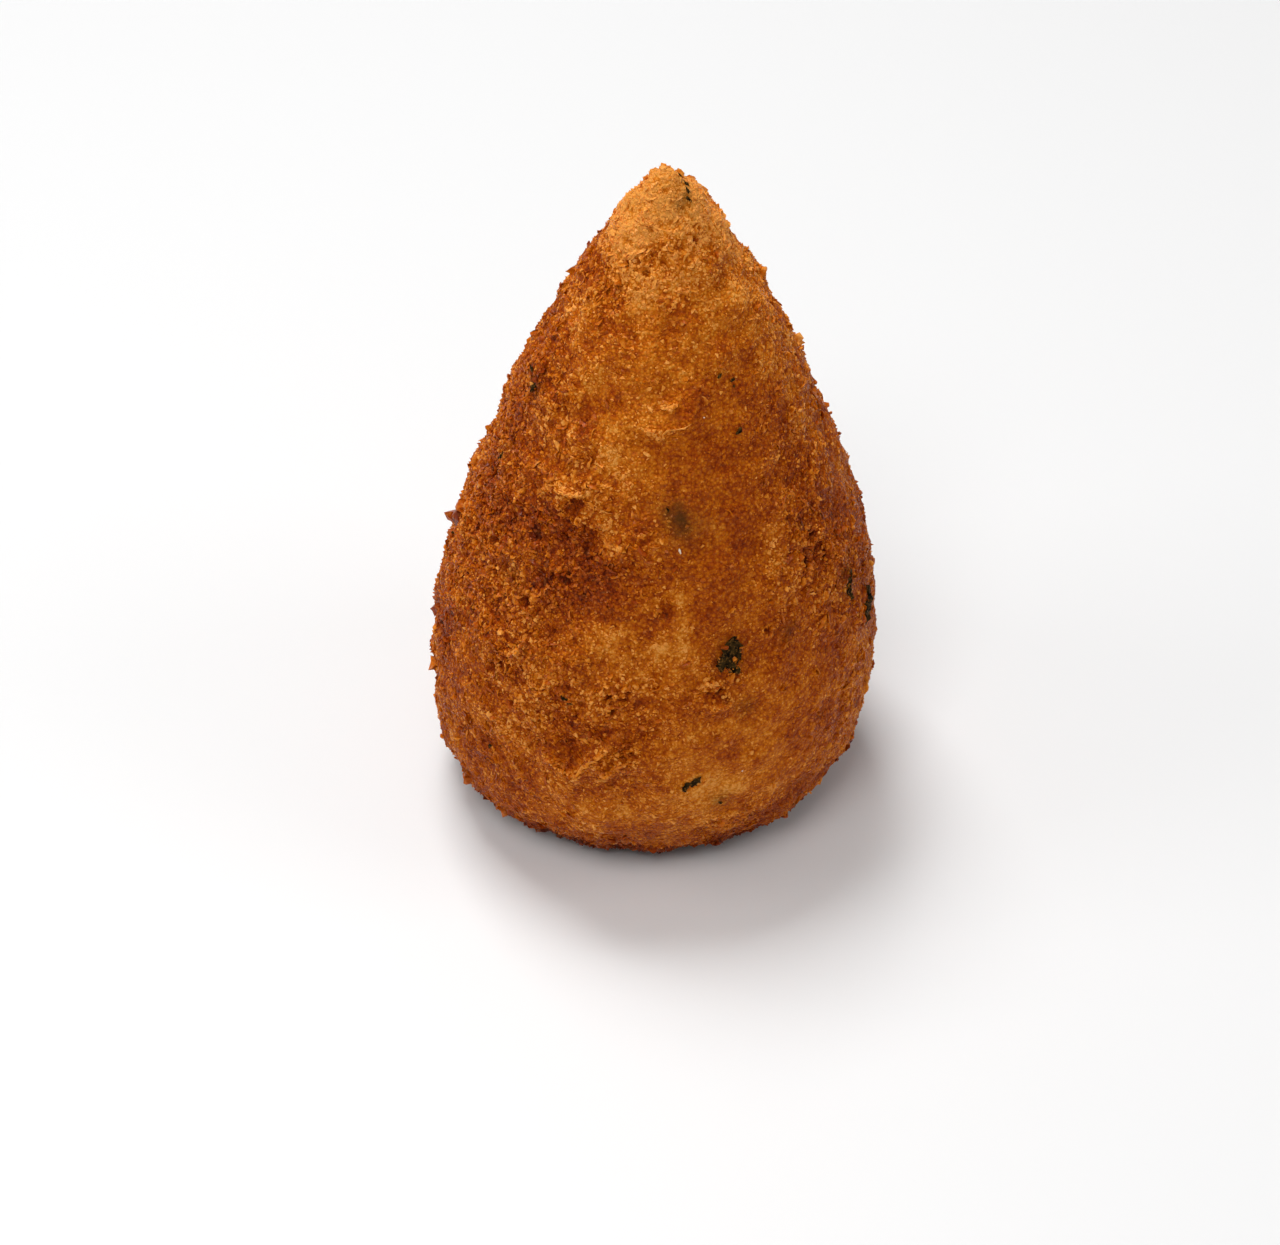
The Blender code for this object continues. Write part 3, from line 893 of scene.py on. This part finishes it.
crumbs_finish = crumb_material()

# %% [markdown]
# ## Setting crumbs on the crust
# A crumb lies flat, pressed a little into the crust, and its top is painted paler than its foot, as painted
# highlight and shade. Its toast is that of its spot with a random shift, painted paler on a crest and darker
# in a pore as highlight and shade. On the smooth parts crumbs are pressed in and differ less.

# %% Set crumbs at given directions
LOWEST_POINT = 0.05 * MM
CORNER_REACH = (0.7, 1.3)
TOAST_SPREAD = 0.14
SPREAD_SMOOTH, SPREAD_ROUGH = 0.55, 0.4
SMOOTH_SINK = 0.25
DENT_CELL, DENT_SEED = 0.7 * MM, 86
CREST_DEPTH = 0.7
HERB_ON_CRUMBS = 0.6


def above_the_table(points):
    points[..., 2] = np.maximum(points[..., 2], LOWEST_POINT)


def make_crumbs(name, points, faces, skin, toast, crest):
    """A piece of joined crumbs. Each takes the herb number of its skin point, and one toast number."""
    corners = crest.size // len(skin)
    numbers = {"toast": np.repeat(toast, corners), "crest": crest,
               "herb": np.repeat(HERB_ON_CRUMBS * herb_of(skin), corners)}
    return make_piece(name, points.reshape(-1, 3), faces, crumbs_finish, numbers, False)


def set_crumbs(name, draw, spots, sizes, ball, stretch, stand, sunk, toast_and_shade_shift, dents=0.0):
    """Joined crumbs: the ball's corners times a random reach, stretched, turned, pressed flat along the
    crust's normal by the factor stand, and set at each spot. Dents are noise, as a share of each size."""
    corners, faces = ball
    count = len(spots)
    places, relief = crust_points(spots)
    normals = outward(spots)
    reach = draw.uniform(*CORNER_REACH, (count, len(corners), 1))
    skin = smooth_points(spots)
    rough = roughness_of(skin)
    span = draw.uniform(*stretch, (count, 1, 3))
    shape = np.einsum("nij,nkj->nki", random_turns(draw, count), corners * reach * span)
    depth = np.einsum("nkj,nj->nk", shape, normals)
    shape += ((np.reshape(stand, (-1, 1)) - 1) * depth)[..., None] * normals[:, None]
    centre = places - normals * ((sunk + SMOOTH_SINK * (1 - rough)) * sizes)[:, None]
    points = centre[:, None] + shape * (sizes / 2)[:, None, None]
    if dents:
        bumps = noise_shift(points.reshape(-1, 3), DENT_CELL, DENT_SEED)
        points += dents * sizes[:, None, None] * bumps.reshape(points.shape)
    above_the_table(points)
    spread = SPREAD_SMOOTH + SPREAD_ROUGH * rough
    toast = toast_and_shade_of(skin) + draw.normal(toast_and_shade_shift, TOAST_SPREAD, count) * spread
    # Painted highlight for crumbs on crests, painted shade for crumbs in pores.
    toast -= CREST_LIGHT_AND_PORE_SHADE * crest_of(relief)
    # The crest number carries painted highlight on a crumb's top and painted shade at its foot.
    crest = np.clip(depth / CREST_DEPTH, -1, 1).ravel()
    return make_crumbs(name, points, repeated(faces, len(corners), count), skin, toast, crest)


# %% [markdown]
# ## The largest crumbs
# The largest crumbs of the imported solid return at the same places, with more faces. Single golden and pale
# grains, and the pointed ones on the outline, darkened as painted shade, are added by pixel.

# %% The imported model's crumbs and the single grains
CRUMB_COUNT = 110
CRUMB_SEED = 5
CRUMB_SIZES = (1.4 * MM, 2.6 * MM)
CRUMB_LOWEST = 4.0 * MM
CRUMB_TRIES = 14
LARGE_SHARE = 0.8
# Azimuth, height, size
OUTLINE_CRUMBS = in_metres(
    (1, 2),
    (-95, 46, 3), (-92, 42, 2), (-88, 30, 2.4), (-84, 21, 2.8), (-101, 76, 2.2), (-103, 87, 1.8),
    (-62, 8.5, 2.6), (-50, 6, 2.4), (88, 44.5, 2.2), (96, 66.5, 2.4), (100, 75, 2), (104, 87, 2.2),
    (2, 5, 2),
)
# Pixel across and down, size, shift of toast
SINGLE_GRAINS = in_metres(
    [2],
    (679, 550, 0.5, -0.75), (704, 417, 0.3, -0.75), (742, 770, 0.35, -0.7), (704, 549, 0.8, -0.45),
    (681, 172, 1.2, 0.1), (773, 543, 1.1, -0.25), (824, 553, 1.1, -0.25), (845, 529, 1.1, -0.25),
    (641, 640, 0.6, -0.3), (752, 756, 1.3, -0.3), (734, 659, 1, -0.1), (725, 650, 0.8, 0),
    (727, 671, 0.8, 0), (741, 654, 0.6, -0.2),
)
NEAR_WHITE_GRAINS = 3
# Pixel across and down on the outline, size, stretch outwards
EDGE_GRAINS = in_metres(
    [2],
    (661, 163, 1.7, 1.2), (668, 165, 1.3, 1), (457, 500, 1.5, 1.5), (457, 517, 3.4, 1.4),
    (450, 514, 2.4, 1.6), (447, 532, 2, 1.2), (446, 549, 1.6, 1.2), (572, 268, 1.2, 1.4),
    (606, 214, 1.1, 1.3), (470, 781, 1.4, 1.3), (478, 789, 2, 1.5), (494, 808, 2, 1.4),
    (509, 813, 1.6, 1.2), (526, 824, 1.5, 1.2), (543, 833, 2, 1.2), (558, 839, 2.2, 1.2),
    (579, 844, 2, 1.2), (761, 268, 1.3, 1.5), (815, 381, 1.2, 1.5), (826, 405, 1.3, 1.6),
    (863, 516, 1.3, 1.4), (855, 735, 1.4, 1.3), (646, 850, 1.4, 1.4), (674, 847, 1.2, 1.3),
)


def packed_crumbs(draw):
    """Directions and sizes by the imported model's rule: each scattered crumb takes the one of several random
    spots that lies farthest from the crumbs before it."""
    taken = [direction_at(azimuth, height) for azimuth, height, size in OUTLINE_CRUMBS]
    sizes = [size for azimuth, height, size in OUTLINE_CRUMBS]
    lowest = direction_at(0, CRUMB_LOWEST)[2]
    low, high = CRUMB_SIZES
    for share in np.linspace(1, 0, CRUMB_COUNT):
        z = draw.uniform(lowest, 1, CRUMB_TRIES)
        turn = draw.uniform(0, 2 * math.pi, CRUMB_TRIES)
        level = np.sqrt(1 - z * z)
        spots = np.stack([level * np.cos(turn), level * np.sin(turn), z], 1)
        taken.append(spots[(spots @ np.stack(taken).T).max(axis=1).argmin()])
        sizes.append(low + (high - low) * share**2)
    return np.stack(taken), np.array(sizes)


large_spots, large_sizes = packed_crumbs(np.random.default_rng(CRUMB_SEED))
large_sizes[len(OUTLINE_CRUMBS):] *= LARGE_SHARE
draw = np.random.default_rng(202)
outline, rest = slice(None, len(OUTLINE_CRUMBS)), slice(len(OUTLINE_CRUMBS), None)
# Name, spots, sizes, ball, stretch, stand, sunk, shift of toast, dents
set_crumbs("crumbs_edge", draw, large_spots[outline], large_sizes[outline], lump, (0.55, 1.0), 1.25, 0.02,
           0.08, 0.3)
set_crumbs("crumbs_large", draw, large_spots[rest], large_sizes[rest], lump, (0.5, 1.0), 0.8, 0.2, 0.0, 0.3)
grain_sizes, grain_toast = np.array(SINGLE_GRAINS)[:, 2:].T
singles = set_crumbs("crumbs_single", draw, all_seen_at(SINGLE_GRAINS), grain_sizes, lump, (0.5, 1.2), 0.9,
                     -0.2, grain_toast, 0.4)
keep_number(singles.data, "pale", np.repeat(np.arange(len(grain_sizes)) < NEAR_WHITE_GRAINS, len(lump[0])))
edge_sizes, edge_stand = np.array(EDGE_GRAINS)[:, 2:].T
# The pointed grains' toast shift of 0.35 is painted shade: they stand in shadow on the outline.
set_crumbs("crumbs_pointed", draw, all_seen_at(EDGE_GRAINS), edge_sizes, icosahedron(), (0.5, 0.9),
           edge_stand, 0.0, 0.35)

# %% [markdown]
# ## Parsley scraps
# A scrap is a closed ribbon: a flat ellipse carried along a short path, widest in the middle, with a ragged
# width. The same ribbon, stood on its edge, will make the thin curled flakes of crumb.

# %% Ribbons that follow the crust
def ribbons(paths, half_width, half_thickness, lean, lift, around):
    """Closed ribbons: a flat ellipse of some corners is carried along each path on the skin, its long axis
    tipped by lean out of the surface, and every corner is set on the crust plus its lift."""
    count, steps = paths.shape[:2]
    normals = outward(direction_of(paths.reshape(-1, 3))).reshape(paths.shape)
    side = unit(np.cross(normals, np.gradient(paths, axis=1)))
    turn = np.arange(around) * 2 * math.pi / around
    wide = half_width[..., None] * np.cos(turn)
    thick = half_thickness[..., None] * np.sin(turn)
    tip = lean[:, None, None]
    across = wide * np.cos(tip) - thick * np.sin(tip)
    rise = wide * np.sin(tip) + thick * np.cos(tip) + lift[:, None, None]
    directions = direction_of((paths[:, :, None] + side[:, :, None] * across[..., None]).reshape(-1, 3))
    places, _ = crust_points(directions)
    points = places + outward(directions) * rise.reshape(-1, 1)
    above_the_table(points)
    ring = np.arange(steps * around).reshape(steps, around)
    a, b = ring[:-1], ring[1:]
    c, d = np.roll(b, -1, 1), np.roll(a, -1, 1)
    walls = np.concatenate([np.stack(wall, -1).reshape(-1, 3) for wall in ((a, c, b), (a, d, c))])
    fan = np.stack([np.zeros(around - 2, int), np.arange(1, around - 1), np.arange(2, around)], 1)
    faces = np.concatenate([walls, fan[:, ::-1], ring[-1][fan]])
    return points, repeated(faces, steps * around, count)


def hump_along(steps, fullness, least, bluntness):
    """A rounded hump from end to end of a path."""
    return np.maximum(1 - np.abs(np.linspace(-1, 1, steps)) ** fullness, least) ** bluntness


def paths_at(directions, lengths, angles, bends, steps):
    """Short arcs on the skin: a line of a length, at an angle from the level, bent as a parabola."""
    centres = smooth_points(directions)
    normals = outward(directions)
    level, uphill = level_and_uphill(normals)
    along = np.cos(angles)[:, None] * level + np.sin(angles)[:, None] * uphill
    aside = np.cross(normals, along)
    share = np.linspace(-1, 1, steps)
    forward = (lengths / 2)[:, None] * share
    sideways = (bends * lengths)[:, None] * (share**2 - 1 / 3)
    return centres[:, None] + along[:, None] * forward[..., None] + aside[:, None] * sideways[..., None]


# Pixel across and down, length, width, angle from the level
SCRAPS_IN_VIEW = in_metres(
    (2, 3),
    (734, 649, 3.2, 2.6, 60), (728, 656, 4.4, 2, 66), (722, 664, 3.2, 1.4, 80), (731, 666, 2.6, 1.4, 100),
    (739, 658, 2.8, 0.8, 75), (735, 671, 1.8, 0.8, 60), (733, 640, 1.4, 0.7, 20), (688, 790, 2, 0.8, 62),
    (694, 783, 2.6, 1.2, 55), (567, 700, 2.2, 0.4, -28), (537, 379, 2.4, 0.5, 75), (535, 388, 2, 1.1, 80),
    (538, 370, 1.2, 0.4, -20), (849, 584, 5.4, 1.5, 80), (868, 593, 3.4, 1.9, 88),
    (868, 611, 4.2, 2.6, 86), (667, 512, 0.7, 0.4, 70), (740, 430, 1.3, 0.6, 30),
    (719, 376, 0.7, 0.4, 60), (731, 381, 0.7, 0.4, 10), (733, 386, 0.6, 0.4, 40),
    (680, 174, 0.9, 0.5, 20), (686, 184, 1.5, 0.4, 80), (686, 191, 1, 0.4, 70), (686, 199, 1, 0.4, 100),
    (489, 748, 0.8, 0.5, 40), (454, 533, 1.6, 0.7, 60), (502, 456, 2.4, 0.35, 62),
    (720, 803, 0.6, 0.35, 0),
)
# Azimuth, height, length, width, angle
SCRAPS_ROUND_THE_BACK = in_metres(
    (1, 2, 3),
    (128, 52, 5, 2.2, 40), (131, 55, 3, 1.2, 100), (158, 30, 3.4, 1.3, -20), (-170, 61, 2.6, 0.7, 70),
    (-148, 38, 5.2, 1.6, 15), (-145, 35, 2.6, 1, 60), (-120, 66, 1.6, 0.5, -50), (112, 20, 2.2, 0.9, 75),
    (176, 84, 1.4, 0.5, 30), (-112, 22, 3, 1.1, 120), (172, 14, 2, 0.6, 5),
)
back_directions = [direction_at(*row[:2]) for row in SCRAPS_ROUND_THE_BACK]
scrap_directions = np.concatenate([all_seen_at(SCRAPS_IN_VIEW), back_directions])
scrap_sizes = np.array(SCRAPS_IN_VIEW + SCRAPS_ROUND_THE_BACK)[:, 2:]
scrap_centres = smooth_points(scrap_directions)
print("parsley scraps", len(scrap_sizes))

# %% [markdown]
# ## The parsley's finish
# Fried parsley is dark green to almost black and hardly shines. Grey patches along its veins are painted
# highlight.

# %% Parsley material and pieces
PARSLEY_DARK, PARSLEY_GREEN, PARSLEY_HIGHLIGHT_GREY = (20, 13, 4), (62, 44, 16), (122, 84, 38)
PATCH_SCALE, VEIN_SCALE = 900, 2600
GREEN_RANGE, HIGHLIGHT_GREY_RANGE, MOST_HIGHLIGHT_GREY = (0.42, 0.62), (0.52, 0.66), 0.8
PARSLEY_ROUGHNESS, PARSLEY_SHINE, PARSLEY_BUMP = 0.6, 0.03, 0.3 * MM
SCRAP_STEPS, SCRAP_CORNERS = 21, 14
SCRAP_BEND, SCRAP_LEAN = 0.12, 0.15
SCRAP_RAGGED, SCRAP_HUMP = (0.65, 1.15), (2.6, 0.01, 0.7)
SCRAP_THICKNESS, SCRAP_LIFT = 0.1 * MM, 0.16 * MM
SCRAP_WARPS = in_metres((0, 1), (0.3, 0.9, 81), (0.15, 0.4, 84))


def parsley_material():
    recipe = Recipe("herb_flecks")
    veins = recipe.noise(VEIN_SCALE, 3)
    green = recipe.spread(recipe.noise(PATCH_SCALE, 4), *GREEN_RANGE)
    colour = recipe.blend(green, linear(PARSLEY_DARK), PARSLEY_GREEN)
    # Painted highlight: grey patches along the veins.
    colour = recipe.blend(recipe.spread(veins, *HIGHLIGHT_GREY_RANGE, 0, MOST_HIGHLIGHT_GREY), colour, PARSLEY_HIGHLIGHT_GREY)
    return recipe.finish(colour, PARSLEY_ROUGHNESS, PARSLEY_SHINE, recipe.bump(veins, PARSLEY_BUMP))


def parsley_scraps(draw):
    """Ribbons lying nearly flat. The half width is a rounded hump along the path, times a ragged factor."""
    length, width, angle = scrap_sizes.T
    count = len(length)
    bends = draw.uniform(-SCRAP_BEND, SCRAP_BEND, count)
    paths = paths_at(scrap_directions, length, np.radians(angle), bends, SCRAP_STEPS)
    hump = hump_along(SCRAP_STEPS, *SCRAP_HUMP)
    half_width = (width / 2)[:, None] * hump * draw.uniform(*SCRAP_RAGGED, (count, SCRAP_STEPS))
    half_thickness = np.broadcast_to(SCRAP_THICKNESS * hump, half_width.shape)
    lean = draw.uniform(-SCRAP_LEAN, SCRAP_LEAN, count)
    lift = np.full(count, SCRAP_LIFT)
    points, faces = ribbons(paths, half_width, half_thickness, lean, lift, SCRAP_CORNERS)
    for warp in SCRAP_WARPS:
        points = warped_by(points, [warp])
    above_the_table(points)
    make_piece("parsley_scraps", points, faces, parsley_material(), {})


parsley_scraps(np.random.default_rng(301))

# %% [markdown]
# ## Scattering the crumbs
# A crumb's spot is a random direction, kept with a chance that depends on how rough the crust is there. Few
# lie on the parsley, and none so low that it would touch the table.

# %% Scatter each kind of crumb
LOWEST_CRUMB = 0.9 * MM
PARSLEY_CLEARING = 0.8 * MM
LEAST_IN_PORES, LEFT_ON_PARSLEY = 0.35, 0.5
SPARE_SPOTS = 3.6
CREST_RANGE = (-0.12 * MM, 0.15 * MM)
# Name, seed, count, smallest and largest size, ball, stretch, stand, sunk, bias to rough crust, toast shift
CRUMB_KINDS = in_metres(
    (3, 4),
    ("crumbs_coarse", 101, 5000, 0.8, 1.6, icosahedron(), (0.5, 1.1), 0.8, 0.18, 0.95, -0.02),
    ("crumbs_golden", 102, 24500, 0.35, 0.8, octahedron(), (0.45, 1.5), 0.9, 0.0, 0.95, -0.07),
    ("crumbs_toasted", 103, 24500, 0.4, 0.9, octahedron(), (0.45, 1.4), 0.85, 0.04, 0.85, 0.06),
    ("crumbs_fine", 104, 24500, 0.25, 0.5, octahedron(), (0.6, 1.3), 0.9, -0.05, 0.5, -0.04),
)


def crumb_directions(draw, count, rough_bias):
    """Random directions, thinned: the chance to stay is a blend of 1 and the roughness, small on parsley and
    small in the pores, because crumbs gather on the crests between them."""
    spots = unit(draw.normal(size=(int(count * SPARE_SPOTS), 3)))
    points = smooth_points(spots)
    rough = roughness_of(points)
    chance = 1 - rough_bias + rough_bias * rough
    on_crest = soft_step(*CREST_RANGE, fine_relief(points, rough))
    chance *= LEAST_IN_PORES + (1 - LEAST_IN_PORES) * on_crest
    for centre, (length, width, angle) in zip(scrap_centres, scrap_sizes):
        away = np.linalg.norm(points - centre, axis=1)
        chance *= 1 - LEFT_ON_PARSLEY * np.exp(-((away / (PARSLEY_CLEARING + width / 2)) ** 4))
    kept = (draw.random(len(spots)) < chance) & (points[:, 2] > LOWEST_CRUMB)
    return spots[kept][:count]


for name, seed, count, low, high, ball, stretch, stand, sunk, rough_bias, toast_and_shade_shift in CRUMB_KINDS:
    draw = np.random.default_rng(seed)
    spots = crumb_directions(draw, count, rough_bias)
    sizes = low + (high - low) * draw.random(len(spots)) ** 2
    set_crumbs(name, draw, spots, sizes, ball, stretch, stand, sunk, toast_and_shade_shift)

# %% [markdown]
# ## Curled flakes, seams and rims
# Short flakes stand all over the rough parts: the ribbons again, stood almost on edge, with painted highlight
# on top and painted shade below. Along each seam and round each broken pore the crumbs stand close together,
# and they and the seam flakes are painted paler, as highlight where they stick up.

# %% Flakes of crumb
FLAKE_STEPS, FLAKE_CORNERS, FLAKE_HUMP = 5, 4, (4, 0.05, 0.8)
FLAKE_COUNT, FLAKE_BIAS, FLAKE_LOWEST = 3600, 0.9, 3 * MM
FLAKE_LENGTHS, FLAKE_HEIGHTS, FLAKE_BEND = (0.7 * MM, 1.8 * MM), (0.4 * MM, 0.75 * MM), 0.25
FLAKE_THICKNESS, FLAKE_TOAST, FLAKE_LIFT = 0.26 * MM, -0.04, 0.3
FLAKE_RAGGED, FLAKE_UNEVEN, FLAKE_LEAN = (0.7, 1.2), (0.7, 1.4), (0.6, 1.2)
# Crest numbers for the flakes: painted highlight on top, painted shade underneath.
FLAKE_CREST = (0.8, 0.2, -0.6, 0.2)
FLAKE_WARP = in_metres((0, 1), (0.3, 0.9, 91))
# The seam flakes' toast shift is painted highlight: paler where they stick up.
SEAM_STEPS, SEAM_THICKNESS, SEAM_PAINTED_HIGHLIGHT = 16, 0.3 * MM, -0.32
SEAM_WARP = in_metres((0, 1), (0.6, 0.8, 94))
SEAM_GRAINS, RIM_GRAINS = 44, 16
SEAM_SCATTER, RIM_REACH = 0.25 * MM, (1.3, 2.0)


def flakes(name, draw, paths, height, thickness, toast_and_shade_shift):
    """Ribbons that lean far over. Their height is a hump along the path, and their toast is the crust's."""
    count, steps = paths.shape[:2]
    hump = hump_along(steps, *FLAKE_HUMP)
    half_width = (height / 2)[:, None] * hump * draw.uniform(*FLAKE_RAGGED, (count, steps))
    half_thickness = thickness / 2 * hump * draw.uniform(*FLAKE_UNEVEN, (count, steps))
    lean = draw.uniform(*FLAKE_LEAN, count)
    points, faces = ribbons(paths, half_width, half_thickness, lean, FLAKE_LIFT * height, FLAKE_CORNERS)
    points = warped_by(points, FLAKE_WARP)
    middles = paths[:, steps // 2]
    toast = toast_and_shade_of(middles) + draw.normal(toast_and_shade_shift, TOAST_SPREAD, count)
    make_crumbs(name, points, faces, middles, toast, np.tile(FLAKE_CREST, count * steps))


def seam_points(share):
    """Points along each seam: 0 is its first corner and 3 its last."""
    part = np.minimum(share.astype(int), SEAM_CORNERS - 2)
    seam = np.arange(len(SEAMS))[:, None]
    near, far = seam_corners[seam, part], seam_corners[seam, part + 1]
    return near + (share - part)[..., None] * (far - near)


def seam_spots(draw):
    spots = seam_points(draw.uniform(0, SEAM_CORNERS - 1, (len(SEAMS), SEAM_GRAINS)))
    return direction_of((spots + draw.normal(0, SEAM_SCATTER, spots.shape)).reshape(-1, 3))


def rim_spots(draw):
    """Random places on a ring round each pore seen in the picture."""
    radii = np.array([row[2] for row in PORES])[:, None]
    level, uphill = level_and_uphill(outward(direction_of(pore_centres)))
    turn = draw.uniform(0, 2 * math.pi, (len(radii), RIM_GRAINS))[..., None]
    reach = (radii * draw.uniform(*RIM_REACH, (len(radii), RIM_GRAINS)))[..., None]
    ring = reach * (np.cos(turn) * level[:, None] + np.sin(turn) * uphill[:, None])
    return direction_of((pore_centres[:, None] + ring).reshape(-1, 3))


draw = np.random.default_rng(401)
spots = crumb_directions(draw, FLAKE_COUNT, FLAKE_BIAS)
skin = smooth_points(spots)
spots = spots[(skin[:, 2] > FLAKE_LOWEST) & (draw.random(len(spots)) < roughness_of(skin))]
lengths = draw.uniform(*FLAKE_LENGTHS, len(spots))
angles = draw.uniform(0, 2 * math.pi, len(spots))
bends = draw.uniform(-FLAKE_BEND, FLAKE_BEND, len(spots))
paths = paths_at(spots, lengths, angles, bends, FLAKE_STEPS)
heights = draw.uniform(*FLAKE_HEIGHTS, len(spots))
flakes("flakes_short", draw, paths, heights, FLAKE_THICKNESS, FLAKE_TOAST)
paths = seam_points(np.tile(np.linspace(0, SEAM_CORNERS - 1, SEAM_STEPS), (len(SEAMS), 1)))
paths = warped_by(paths.reshape(-1, 3), SEAM_WARP).reshape(paths.shape)
flakes("flakes_seams", draw, paths, seam_heights, SEAM_THICKNESS, SEAM_PAINTED_HIGHLIGHT)
# Name, spots, smallest and largest size, sunk, toast shift
CLOSE_CRUMBS = in_metres((2, 3), ("crumbs_seams", seam_spots, 0.35, 0.75, -0.15, -0.06),
                         ("crumbs_rims", rim_spots, 0.3, 0.6, -0.1, -0.04))
for name, spots_of, low, high, sunk, toast_and_shade_shift in CLOSE_CRUMBS:
    spots = spots_of(draw)
    sizes = draw.uniform(low, high, len(spots))
    set_crumbs(name, draw, spots, sizes, icosahedron(), (0.5, 1.2), 1.1, sunk, toast_and_shade_shift)

# %% [markdown]
# ## Table and light
# A pale matt table, and the light of a product photograph. The strongest soft box stands high behind on the
# left. A softer one in front shows the crumb, one on each side keeps the flanks from going black, and a
# bright room fills the rest.

# %% Table, lamps and world
TABLE_HALF = 1.5
TABLE_COLOUR, TABLE_ROUGHNESS = (0.88, 0.88, 0.88, 1.0), 0.5
LAMP_DISTANCE = 0.9
LAMP_AIM = np.array([0, 0, 0.045])
# Name, azimuth, elevation, size of the box, power
SOFT_BOXES = (
    ("top_box", -152, 68, 0.35, 5.2),
    ("front_box", -18, 58, 0.35, 2.5),
    ("left_box", -84, 34, 0.4, 1.15),
    ("right_box", 80, 38, 0.4, 1.0),
)
ROOM_LIGHT = 0.22

table_finish = Recipe("pale_table")
table_finish.fill(table_finish.shader, {"Base Color": TABLE_COLOUR, "Roughness": TABLE_ROUGHNESS})
table_mesh = bpy.data.meshes.new("table")
corners = [(x * TABLE_HALF, y * TABLE_HALF, 0) for x, y in ((-1, -1), (1, -1), (1, 1), (-1, 1))]
table_mesh.from_pydata(corners, [], [(0, 1, 2, 3)])
table_mesh.materials.append(table_finish.material)
add_object("table", table_mesh)

for name, azimuth, elevation, size, power in SOFT_BOXES:
    lamp = bpy.data.lights.new(name, "AREA")
    lamp.shape = "SQUARE"
    lamp.size = size
    lamp.energy = power
    box = add_object(name, lamp)
    turn, lift = math.radians(azimuth), math.radians(elevation)
    away = np.array([math.sin(turn) * math.cos(lift), -math.cos(turn) * math.cos(lift), math.sin(lift)])
    box.location = away * LAMP_DISTANCE + LAMP_AIM
    box.rotation_euler = (math.pi / 2 - lift, 0, turn)

world = bpy.data.worlds.new("studio")
world.use_nodes = True
world.node_tree.nodes["Background"].inputs["Color"].default_value = (1.0, 1.0, 1.0, 1.0)
world.node_tree.nodes["Background"].inputs["Strength"].default_value = ROOM_LIGHT
bpy.context.scene.world = world
bpy.context.scene.view_settings.view_transform = "Standard"
print("lamps", len(SOFT_BOXES))
